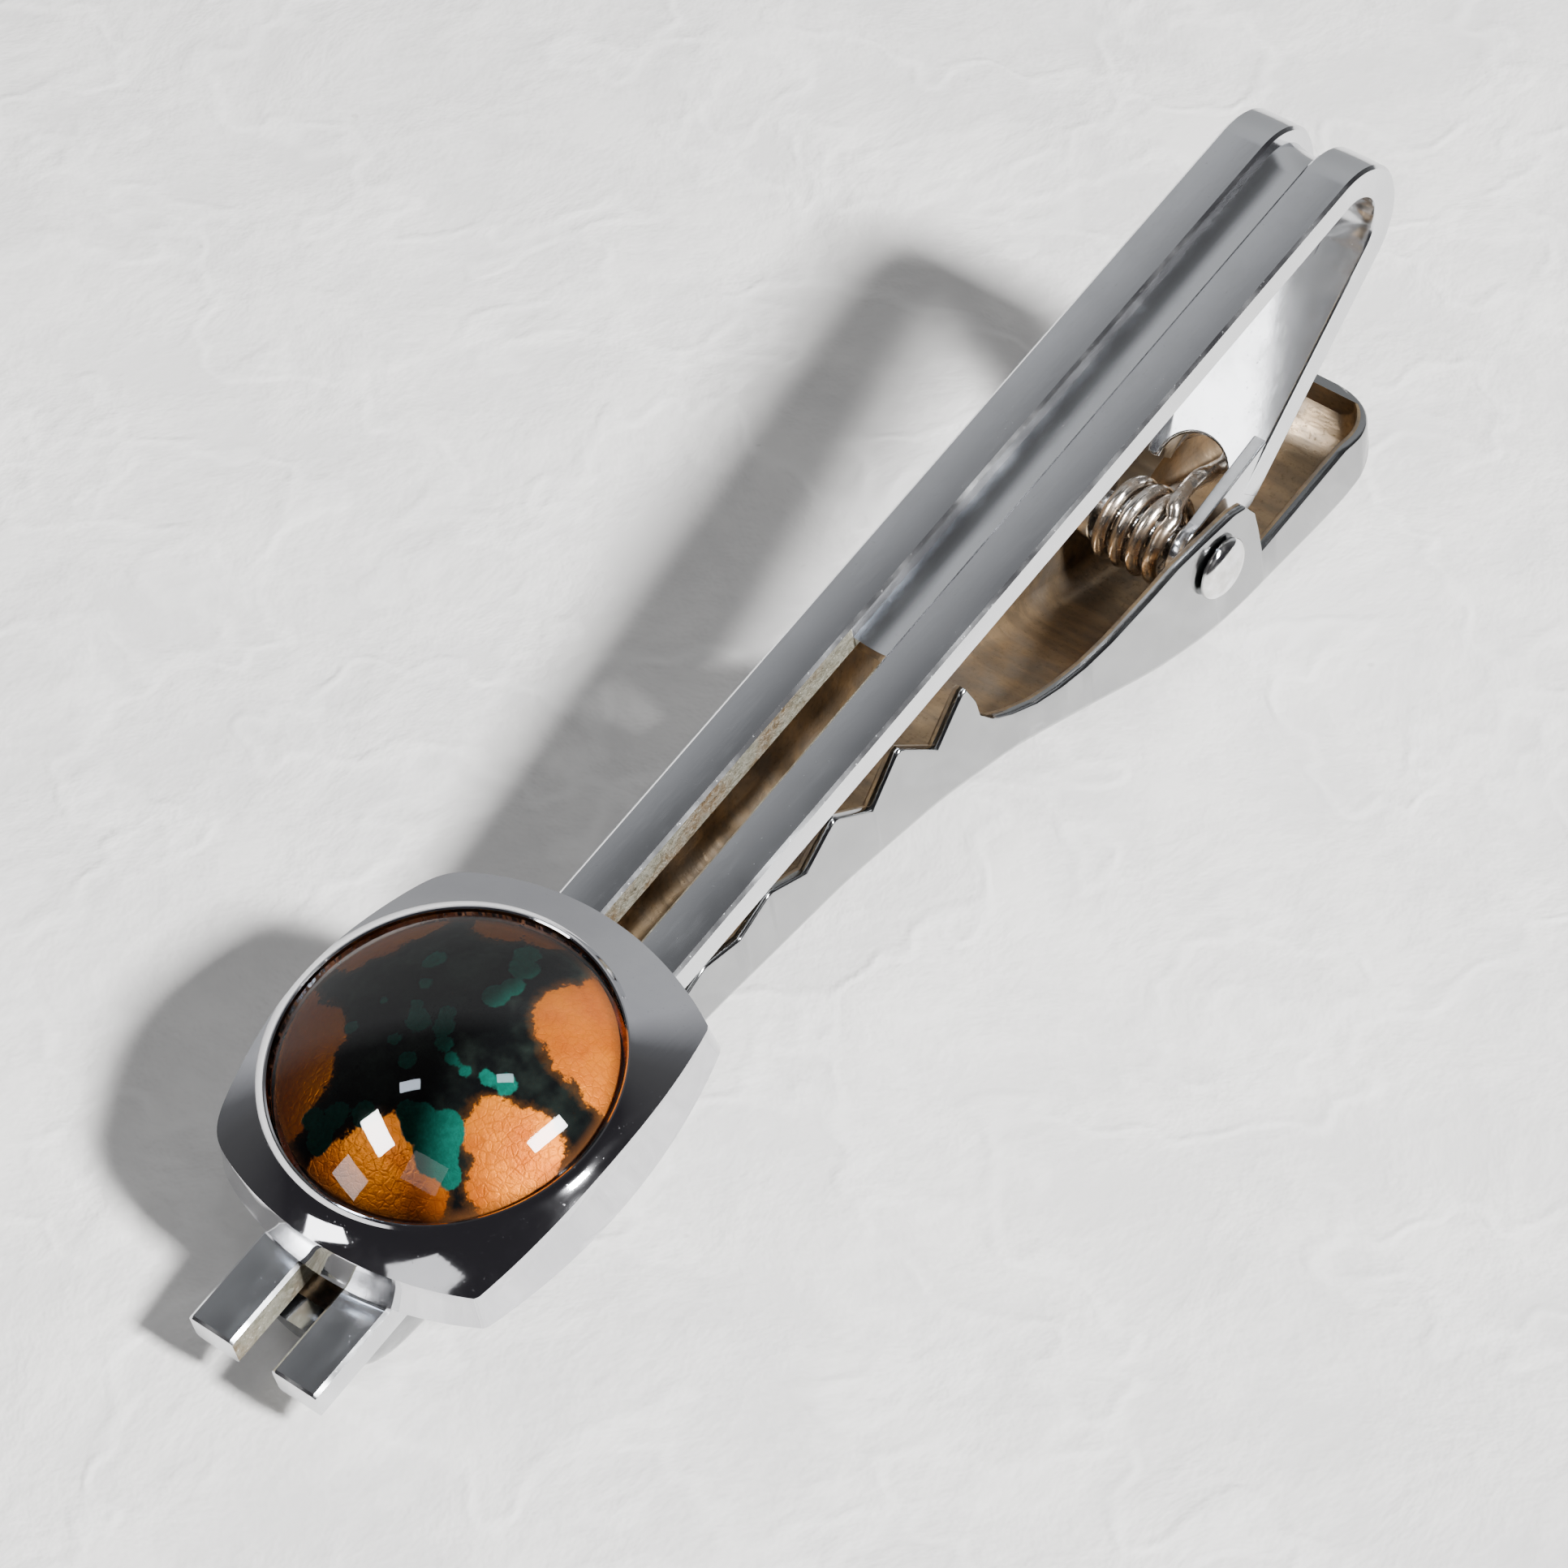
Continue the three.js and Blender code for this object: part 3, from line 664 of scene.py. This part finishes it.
def clear_glass():
    """The clear top's outside: it mirrors by its angle and shows the enamel under it."""
    finish = Finish("clear glass")
    through = finish.node("ShaderNodeBsdfTransparent", {}, {"Color": (0.985, 0.985, 0.975)})
    ripple = finish.bump(finish.noise(2.5, 1, 0.4), 5)
    angle = finish.node("ShaderNodeFresnel", {}, {"IOR": 1.5, "Normal": ripple})
    smear = finish.noise(0.6, 3, 0.6).step(0.4, 0.9)
    finish.surface(Base_Color=(1, 1, 1), Metallic=1.0, Roughness=0.02 + smear * 0.04, Normal=ripple)
    blend = finish.node("ShaderNodeMixShader", {}, {
        0: angle, 1: through, 2: Wire(finish, finish.shader.outputs[0])})
    finish.feed(finish.output, {"Surface": blend})
    return finish.material


def bonded_glass():
    """The inside of the clear top, where it is bonded to the enamel and nothing is mirrored."""
    finish = Finish("bonded glass")
    clear = finish.node("ShaderNodeBsdfTransparent", {}, {"Color": (0.99, 0.99, 0.98)})
    cloudy = finish.node("ShaderNodeBsdfTransparent", {}, {"Color": (0.97, 0.97, 0.955)})
    blend = finish.node("ShaderNodeMixShader", {}, {0: finish.noise(1.5, 2, 0.5), 1: clear, 2: cloudy})
    finish.feed(finish.output, {"Surface": blend})
    return finish.material


def cement():
    finish = Finish("bedding cement")
    grit = finish.noise(0.3, 5, 0.7).step(0.3, 0.7)
    finish.surface(Base_Color=finish.mix(grit, (0.45, 0.42, 0.35), (0.66, 0.63, 0.54)), Roughness=0.85,
                   Normal=finish.bump(grit, 60))
    return finish.material


def bare_copper():
    finish = Finish("bare copper")
    tarnish = finish.noise(1.5, 4, 0.6).step(0.35, 0.7)
    finish.surface(Base_Color=finish.mix(tarnish, (0.72, 0.36, 0.22), (0.30, 0.13, 0.07)), Metallic=1.0,
                   Roughness=0.25 + tarnish * 0.3, Normal=finish.bump(tarnish, 12))
    return finish.material


enamel_mesh = turned([(0.0, ENAMEL_FOOT), *dome_outline(
    STONE_RADIUS - CLEAR_THICK, ENAMEL_FOOT, DOME_SHOULDER - 0.15, DOME_TOP - CLEAR_THICK)], 256)
mark_depth(enamel_mesh, "gold_depth", GOLD_FIELDS)
mark_depth(enamel_mesh, "green_depth", GREEN_DROPS)
# toward_light is a painted-light share from 0 to 1. It rises towards the side of the stone nearest the key lamp.
for name, share in (
        ("toward_light", lambda x, y: min(1, max(0, 0.3 - 0.06 * x - 0.11 * y))),
        ("rim", lambda x, y: min(1, max(0, (math.hypot(x, y) - STONE_RADIUS + 0.5) / 0.3)))):
    values = [share(v.co.x - STONE_X, v.co.y) for v in enamel_mesh.vertices]
    enamel_mesh.attributes.new(name, "FLOAT", "POINT").data.foreach_set("value", values)
finished("enamel", enamel_mesh, [fired_enamel()], "bar", ["enamel_picture"], 60)

clear_mesh = turned(
    dome_outline(STONE_RADIUS, DOME_FOOT, DOME_SHOULDER, DOME_TOP)
    + dome_outline(STONE_RADIUS - CLEAR_THICK + BOND_GAP, DOME_FOOT, DOME_SHOULDER - 0.12,
                   DOME_TOP - CLEAR_THICK + BOND_GAP)[::-1], closed=True)
for face in clear_mesh.polygons:
    x, y, z = face.center
    away = Vector((x - STONE_X, y, z - 1.0))
    face.material_index = int(face.normal.dot(away) < 0)
finished("clear_top", clear_mesh, [clear_glass(), bonded_glass()], "bar",
         ["clear_dome"], 60)
for node, material in (("cement_bed", cement()), ("copper_disc", bare_copper())):
    frame["nodes"][node].data.materials.clear()
    frame["nodes"][node].data.materials.append(material)


# ---- Jaw ----
# A trough pressed from thin sheet, plated outside and left brown with tarnish inside. Saw teeth run
# along its two walls; the walls drop to a scoop, rise as ears round the rivet, and end in a thumb rest.
JAW_START = 2.1
JAW_END = 58.6
JAW_WALL = 0.5
JAW_CORNER = 1.25
NOSE_HALF = 2.3
JAW_HALF = 3.15
WIDE_FROM = 44
NOSE_ROUND = 0.9
THUMB_ROUND = 2.4
UNDER_BAR = -1.4
TOOTH_PITCH = 3.5
LAST_VALLEY = 32.25
TOOTH_GAPS = 8
RIVET_HOLE = 0.8
BELLY = -14.82
BELLY_FLAT = 2.2
BOTTOM = [
    (2.1, -2.4), (2.5, -3.1), (3.2, -3.65), (4.5, -3.9), (14, -4.4), (20, -4.9), (27, -5.9),
    (32, -7.2), (36, -8.8), (40, -11.1), (43.5, -13.2), (46, -14.4), (47, BELLY),
    (47 + BELLY_FLAT, BELLY - BELLY_FLAT * math.tan(slope)), (50, -15.45), (54, -16.15), (56, -16.35),
    (57.3, -16), (58.1, -15.4), (58.6, -14.7),
]


def jaw_rim():
    """The walls' upper edge from nose to thumb rest as (x, z)."""
    rim = [(JAW_START - 1, UNDER_BAR)]
    for i in range(TOOTH_GAPS - 1, -1, -1):
        valley = LAST_VALLEY - i * TOOTH_PITCH
        tip = valley + TOOTH_PITCH / 2
        sag = 0.02 * max(0, tip - 27.5) ** 2
        rim += [(valley, UNDER_BAR - max(0.55, 2.2 - 0.62 * i)), (tip - 0.1, UNDER_BAR - sag),
                (tip + 0.1, UNDER_BAR - sag)]
    return rim + [
        (34.4, -3.2), (34.5, -4.2), (35.1, -5.2), (36, -6), (37.3, -6.9), (38.6, -7.5), (40, -7.95),
        (41.5, -8.2), (45.5, -8.4), (47.3, -8.75), (48.9, -9.1), (49.6, -9.45), (50, -10.2),
        (50.1, -11.3), (50.15, -12.75), (55.6, -12.8), (57.4, -13.3), (JAW_END + 1, -14.2)]


def jaw_half(x):
    """Half the jaw's width at x, its nose and thumb end rounded."""
    full = NOSE_HALF + (JAW_HALF - NOSE_HALF) * min(1, max(0, (x - JAW_START) / (WIDE_FROM - JAW_START)))
    for into, bend in ((JAW_START + NOSE_ROUND - x, NOSE_ROUND), (x - JAW_END + THUMB_ROUND, THUMB_ROUND)):
        full -= bend - math.sqrt(max(0, bend ** 2 - max(0, into) ** 2))
    return full


def eased_bottom(x):
    """The pressed bottom's height, its corners eased."""
    spread = min(0.9, max(0, min(x - JAW_START, JAW_END - x)))
    at = x + np.linspace(-spread, spread, 9)
    return float(np.mean(np.interp(at, *zip(*BOTTOM))))


def trough_side(x, inset):
    """Half a section of the trough at x, from the middle of the rim's edge down to the keel."""
    half = jaw_half(x) - inset
    floor = eased_bottom(x) + inset
    rim = float(np.interp(x, *zip(*RIM)))
    corner = min(JAW_CORNER - inset / 2, half * 0.8)
    rim = max(rim, floor + 0.25)
    sign = -1 if inset else 1
    centre = floor + corner

    def at(z):
        return half if z >= centre else half - corner + math.sqrt(max(0, corner ** 2 - (centre - z) ** 2))

    edge = at(rim)
    rows = [(edge - sign * 0.20, rim), (edge - sign * 0.08, rim - 0.015), (edge - sign * 0.02, rim - 0.06)]
    lower = max(centre, rim - 0.12) if rim > centre else rim - 0.12
    rows += [(at(z), z) for z in np.linspace(rim - 0.12, min(lower, rim - 0.12), 6)]
    start = math.asin(min(1, max(0, (centre - rows[-1][1]) / corner)))
    rows += [(half - corner + corner * math.cos(a), centre - corner * math.sin(a))
             for a in np.linspace(start, math.pi / 2, 10)[1:]]
    rows += [((half - corner) * share, floor) for share in (0.66, 0.33, 0.0)]
    return rows


def trough():
    """The whole trough: an outer and an inner shell joined along the rim. Its inner faces take the
    second material."""
    knots = [x for x, _ in RIM if JAW_START < x < JAW_END]
    ends = [JAW_START + NOSE_ROUND * (1 - math.cos(a)) for a in np.linspace(0, math.pi / 2, 9)]
    ends += [JAW_END - THUMB_ROUND * (1 - math.cos(a)) for a in np.linspace(0, math.pi / 2, 17)]
    grid = np.linspace(JAW_START + NOSE_ROUND, JAW_END - THUMB_ROUND, 190)
    near = [x for x in grid if min(abs(x - k) for k in knots) > 0.08]
    stations = sorted({round(x, 4) for x in [*knots, *ends, *near]})
    shells = []
    for inset in (0, JAW_WALL):
        shell = []
        for x in stations:
            at = min(max(x, JAW_START + 1), JAW_END - JAW_WALL) if inset else x
            side = trough_side(at, inset)
            shell.append([(at, y, z) for y, z in side] + [(at, -y, z) for y, z in side[-2::-1]])
        shells.append(shell)
    count = len(shells[0][0])
    rows = len(stations)
    points = [p for shell in shells for ring in shell for p in ring]
    faces, inner = [], []

    def index(shell, i, j):
        return (shell * rows + i) * count + j

    for shell in (0, 1):
        for i in range(rows - 1):
            for j in range(count - 1):
                faces.append((index(shell, i, j), index(shell, i, j + 1), index(shell, i + 1, j + 1),
                              index(shell, i + 1, j)))
                inner.append(shell)
        for i in (0, rows - 1):
            faces.append(tuple(index(shell, i, j) for j in range(count)))
            inner.append(shell)
    for i in range(rows - 1):
        for j in (0, count - 1):
            faces.append((index(0, i, j), index(0, i + 1, j), index(1, i + 1, j), index(1, i, j)))
            inner.append(0)
    for i in (0, rows - 1):
        faces.append((index(0, i, 0), index(0, i, count - 1), index(1, i, count - 1), index(1, i, 0)))
        inner.append(0)
    return mesh_of(points, faces, inner)


def rod_on_pivot(profile, around=48):
    """A solid turned on the rivet's axis from (radius, y) points."""
    points = [(pivot.x + r * math.cos(a), y, pivot.z + r * math.sin(a))
              for a in np.arange(around) * 2 * math.pi / around for r, y in profile]
    rows = len(profile)
    faces = [(i * rows + j, i * rows + j + 1, (i + 1) % around * rows + j + 1, (i + 1) % around * rows + j)
             for i in range(around) for j in range(rows - 1)]
    return mesh_of(points, faces)


def tarnished():
    """Brown, brassy inside of the jaw: the plate never reached it well, and hands and cloth darkened it."""
    finish = Finish("tarnished inside")
    bands = finish.noise(1.1, 3, 0.55, finish.mapped((1.6, 0.35, 1), (0, slope, 0))).step(0.38, 0.62)
    stain = finish.noise(2.6, 4, 0.6).step(0.4, 0.66)
    speck = finish.noise(0.2, 3, 0.7).step(0.5, 0.75)
    brown = finish.mix(bands * 0.5, (0.24, 0.175, 0.11), (0.46, 0.32, 0.18))
    brown = finish.mix(stain * 0.75, brown, (0.15, 0.13, 0.11))
    finish.surface(Base_Color=finish.mix(speck * 0.5, brown, (0.10, 0.07, 0.035)), Metallic=0.85,
                   Roughness=0.30 + stain * 0.15 + speck * 0.1)
    finish.surface(Normal=finish.bump(speck * 0.4 + bands, 8))
    return finish.material


RIM = jaw_rim()
hole = [(0.0, -5.0), (RIVET_HOLE, -5.0), (RIVET_HOLE, 5.0), (0.0, 5.0)]
jaw_mesh = fused([trough(), rod_on_pivot(hole)], "DIFFERENCE")
# Painted shade: the jaw's plating is a darkened copy of the bar's, at about half its brightness, for the darker
# reflections along the jaw's sides.
jaw_plate = plated("jaw plate", (0.31, 0.315, 0.32), (0.25, 0.255, 0.26), 0.10, 0.2, 1.0, 5.0, 4)
finished("jaw_shell", jaw_mesh, [jaw_plate, tarnished()], "jaw", ["jaw"], 40)


# ---- Rivet ----
# A steel rivet through the jaw's ears and the tongue's, closed by a polished round head on each side.
RIVET_RADIUS = 0.7
HEAD_RADIUS = 1.25
HEAD_HEIGHT = 0.6
SEAT = JAW_HALF + 0.1


def rivet_steel():
    finish = Finish("rivet steel")
    smear = finish.noise(0.6, 3, 0.6).step(0.35, 0.7)
    finish.surface(Base_Color=finish.mix(smear, (0.80, 0.80, 0.81), (0.60, 0.59, 0.57)), Metallic=1.0,
                   Roughness=0.07 + smear * 0.12)
    finish.surface(Normal=finish.bump(finish.noise(0.9, 2, 0.5), 16))
    return finish.material


head = [(HEAD_RADIUS * 0.93, SEAT), (HEAD_RADIUS, SEAT + 0.05)]
head += [(HEAD_RADIUS * math.cos(a), SEAT + 0.08 + (HEAD_HEIGHT - 0.08) * math.sin(a))
         for a in np.linspace(0, math.pi / 2, 18)[:-1]] + [(0.0, SEAT + HEAD_HEIGHT)]
half_rivet = [(RIVET_RADIUS, 0.0), (RIVET_RADIUS, SEAT), *head]
rivet_outline = [(r, -y) for r, y in half_rivet[::-1]] + half_rivet[1:]
finished("rivet", rod_on_pivot(rivet_outline, 64), [rivet_steel()], "bar",
         ["pivot_rivet"], 40)


# ---- Spring ----
# One length of steel wire coiled round the rivet. An arm hooks through the fork onto the tongue's back,
# and the other presses on the floor of the thumb rest, so the teeth are held against the bar.
WIRE_RADIUS = 0.3
COIL_RADIUS = 1.45
COIL_TURNS = 3.5
COIL_PITCH = 0.75
HALF_COIL = COIL_TURNS * COIL_PITCH / 2


def wire_path():
    """The wire's centre line, a smooth curve through the arm, the coil and the foot."""
    hook = [(7.4, -0.45, -0.35), (8.6, -0.45, -0.4), (9.5, -0.2, -0.5), (9.9, 0.9, -0.6),
            (10.3, 2.4, -0.8), (11.2, 3.75, -1.1)]
    knots = []
    for s, depth, y in hook:
        x, z = on_tongue(s, depth)
        knots.append((x, y, z))
    for i in range(int(COIL_TURNS * 14) + 1):
        angle = math.pi / 2 + 2 * math.pi * i / 14
        knots.append((pivot.x + COIL_RADIUS * math.cos(angle), -HALF_COIL + COIL_PITCH * i / 14,
                      pivot.z + COIL_RADIUS * math.sin(angle)))
    knots += [(50.2, HALF_COIL, -12.7), (52.6, HALF_COIL, -14.2), (54.6, HALF_COIL, -15.2)]
    knots = np.array([2 * np.array(knots[0]) - knots[1], *knots, 2 * np.array(knots[-1]) - knots[-2]])
    path = []
    for a, b, c, d in zip(knots, knots[1:], knots[2:], knots[3:]):
        for t in np.arange(0, 1, 0.25):
            path.append(0.5 * (2 * b + (c - a) * t + (2 * a - 5 * b + 4 * c - d) * t ** 2
                               + (3 * b - a - 3 * c + d) * t ** 3))
    return [to_table @ Vector(p) for p in [*path, knots[-2]]]


def drawn_wire(path, material):
    """A round wire swept along a path by Geometry Nodes, as a plain mesh."""
    line = bpy.data.meshes.new("path")
    line.from_pydata(path, [(i, i + 1) for i in range(len(path) - 1)], [])
    holder = bpy.data.objects.new("path", line)
    bpy.context.scene.collection.objects.link(holder)
    tree = bpy.data.node_groups.new("wire", "GeometryNodeTree")
    tree.interface.new_socket("Path", in_out="INPUT", socket_type="NodeSocketGeometry")
    radius = tree.interface.new_socket("Wire radius", in_out="INPUT", socket_type="NodeSocketFloat")
    facets = tree.interface.new_socket("Facets", in_out="INPUT", socket_type="NodeSocketInt")
    steel = tree.interface.new_socket("Steel", in_out="INPUT", socket_type="NodeSocketMaterial")
    tree.interface.new_socket("Wire", in_out="OUTPUT", socket_type="NodeSocketGeometry")
    given, curve, ring, sweep, real, paint, done = (tree.nodes.new(kind) for kind in (
        "NodeGroupInput", "GeometryNodeMeshToCurve", "GeometryNodeCurvePrimitiveCircle",
        "GeometryNodeCurveToMesh", "GeometryNodeRealizeInstances", "GeometryNodeSetMaterial",
        "NodeGroupOutput"))
    sweep.inputs["Fill Caps"].default_value = True
    for start, end in (
            (given.outputs["Path"], curve.inputs["Mesh"]),
            (given.outputs["Wire radius"], ring.inputs["Radius"]),
            (given.outputs["Facets"], ring.inputs["Resolution"]),
            (curve.outputs["Curve"], sweep.inputs["Curve"]),
            (ring.outputs["Curve"], sweep.inputs["Profile Curve"]),
            (sweep.outputs["Mesh"], real.inputs["Geometry"]),
            (real.outputs["Geometry"], paint.inputs["Geometry"]),
            (given.outputs["Steel"], paint.inputs["Material"]),
            (paint.outputs["Geometry"], done.inputs["Wire"])):
        tree.links.new(start, end)
    sweep_wire = holder.modifiers.new("wire", "NODES")
    sweep_wire.node_group = tree
    sweep_wire[radius.identifier] = WIRE_RADIUS * MM
    sweep_wire[facets.identifier] = 20
    sweep_wire[steel.identifier] = material
    shaped = holder.evaluated_get(bpy.context.evaluated_depsgraph_get())
    mesh = bpy.data.meshes.new_from_object(shaped)
    bpy.data.objects.remove(holder)
    return mesh


def spring_steel():
    finish = Finish("spring steel")
    stain = finish.noise(0.8, 4, 0.6).step(0.35, 0.65)
    finish.surface(Base_Color=finish.mix(stain, (0.62, 0.58, 0.53), (0.34, 0.26, 0.19)), Metallic=1.0,
                   Roughness=0.12 + stain * 0.2)
    finish.surface(Normal=finish.bump(finish.noise(0.3, 2, 0.5), 12))
    return finish.material


steel = spring_steel()
wire = drawn_wire(wire_path(), steel)
wire.shade_smooth()
wire.name = "spring"
spring = bpy.data.objects.new("spring", wire)
bpy.context.scene.collection.objects.link(spring)
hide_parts("pivot_spring")
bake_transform(spring)


# ---- Table, lights and camera ----
# The clip lies on its jaw on a pale mottled table, under one key lamp and a soft fill. The other
# panels are only there to be mirrored in the plate and the stone.
def pale_table():
    finish = Finish("pale table")
    warp = finish.node("ShaderNodeVectorMath", {"operation": "MULTIPLY_ADD"}, {
        0: finish.node("ShaderNodeTexNoise", {}, {"Vector": finish.place, "Scale": 70.0}, "Color"),
        1: (0.006, 0.006, 0.0), 2: finish.place})
    mottle = finish.noise(5.5, 5, 0.62, warp).step(0.32, 0.72)
    blotch = finish.noise(30, 3, 0.5).step(0.3, 0.7)
    veins = finish.noise(12, 3, 0.6, warp)
    vein = (veins - 0.5).maths("ABSOLUTE", veins - 0.5).step(0.035, 0.0)
    fibre = finish.noise(0.5, 4, 0.7)
    pit = finish.noise(1.1, 1, 0.5).step(0.78, 0.82)
    tone = finish.mix(mottle * 0.55 + blotch * 0.45, (0.66, 0.65, 0.64), (0.84, 0.825, 0.80))
    tone = finish.mix(vein * 0.35, tone, (0.90, 0.89, 0.87))
    finish.surface(Base_Color=finish.mix(pit * 0.35, tone, (0.40, 0.38, 0.36)),
                   Roughness=0.5 + mottle * 0.15, Specular_IOR_Level=0.35)
    finish.surface(Normal=finish.bump(fibre, 8, finish.bump(mottle + blotch + vein * 0.4, 100)))
    return finish.material


floor_mesh = bpy.data.meshes.new("floor")
reach = 1.2
floor_mesh.from_pydata([(-reach, -reach, 0), (reach, -reach, 0), (reach, reach, 0), (-reach, reach, 0)],
                       [], [(0, 1, 2, 3)])
floor = bpy.data.objects.new("floor", floor_mesh)
bpy.context.scene.collection.objects.link(floor)
floor_mesh.materials.append(pale_table())


def lamp(name, toward, distance, size, power, colour=(1, 1, 1), lights_all=True):
    """A rectangular panel in a direction from the clip, facing it."""
    data = bpy.data.lights.new(name, "AREA")
    data.shape = "RECTANGLE"
    data.size, data.size_y = size
    data.energy = power
    data.color = colour
    panel = bpy.data.objects.new(name, data)
    bpy.context.scene.collection.objects.link(panel)
    way = Vector(toward).normalized()
    panel.location = way * distance
    panel.rotation_mode = "QUATERNION"
    panel.rotation_quaternion = way.to_track_quat("Z", "Y")
    panel.visible_diffuse = lights_all
    return panel


lamp("key", (-0.06, -0.74, 0.67), 0.9, (0.12, 0.12), 32.0)
fill = lamp("fill", (0.1, 0.2, 1.0), 1.1, (1.4, 1.4), 2.6)
fill.visible_glossy = False
lamp("panel_left", (-0.775, 0.40, 0.49), 0.9, (0.2, 0.14), 0.65, lights_all=False)
lamp("panel_near", (-0.665, -0.02, 0.745), 1.0, (0.26, 0.2), 0.25, lights_all=False)
lamp("window_left", (-0.577, 0.383, 0.721), 1.0, (0.27, 0.13), 12.0, lights_all=False)
lamp("window_right", (-0.018, -0.481, 0.877), 1.0, (0.29, 0.09), 10.0, lights_all=False)
lamp("glimmer_left", (-0.28, 0.38, 0.881), 1.0, (0.07, 0.13), 0.5, (0.75, 0.85, 1), lights_all=False)
lamp("glimmer_right", (0.067, -0.065, 0.996), 1.0, (0.06, 0.1), 0.3, (0.75, 0.85, 1), lights_all=False)

# A room that is light beyond the bend and on the far side, and dark behind the one who looks.
LIGHT_SIDE = (0.45, 0.40, 0.10)
room = Finish("room", bpy.data.worlds, "Background", "World Output")
way = room.node("ShaderNodeTexCoord", {}, {}, "Generated")
toward_light = room.node("ShaderNodeVectorMath", {"operation": "DOT_PRODUCT"}, {0: way, 1: LIGHT_SIDE},
                         "Value")
walls = room.node("ShaderNodeValToRGB", {"stops": [
    (0.2, (0.035, 0.033, 0.038)), (0.45, (0.11, 0.11, 0.112)), (0.51, (0.16, 0.162, 0.168)),
    (0.60, (0.62, 0.63, 0.65)), (0.70, (0.62, 0.63, 0.64)), (0.85, (0.45, 0.455, 0.46))]},
    {0: toward_light + 0.2})
room.surface(Color=walls, Strength=1.0)
bpy.context.scene.world = room.material

LOOK_ELEVATION = math.radians(44.5)
LOOK_AZIMUTH = math.radians(52.5)
ROLL = math.radians(1.1)
DISTANCE = 0.1938
low, high = (Vector(corner) for corner in cad_box)
aim = (low + high) / 2 + Vector((-0.0024, 0.0004, -0.0017))
look = Vector((math.sin(LOOK_AZIMUTH) * math.cos(LOOK_ELEVATION),
               math.cos(LOOK_AZIMUTH) * math.cos(LOOK_ELEVATION), -math.sin(LOOK_ELEVATION)))
lens = bpy.data.cameras.new("camera")
lens.lens = 130.4
lens.sensor_width = 36
lens.clip_start, lens.clip_end = 0.01, 10
camera = bpy.data.objects.new("camera", lens)
bpy.context.scene.collection.objects.link(camera)
camera.rotation_mode = "QUATERNION"
camera.rotation_quaternion = look.to_track_quat("-Z", "Y") @ Matrix.Rotation(ROLL, 4, "Z").to_quaternion()
camera.location = aim - look * DISTANCE
bpy.context.scene.camera = camera
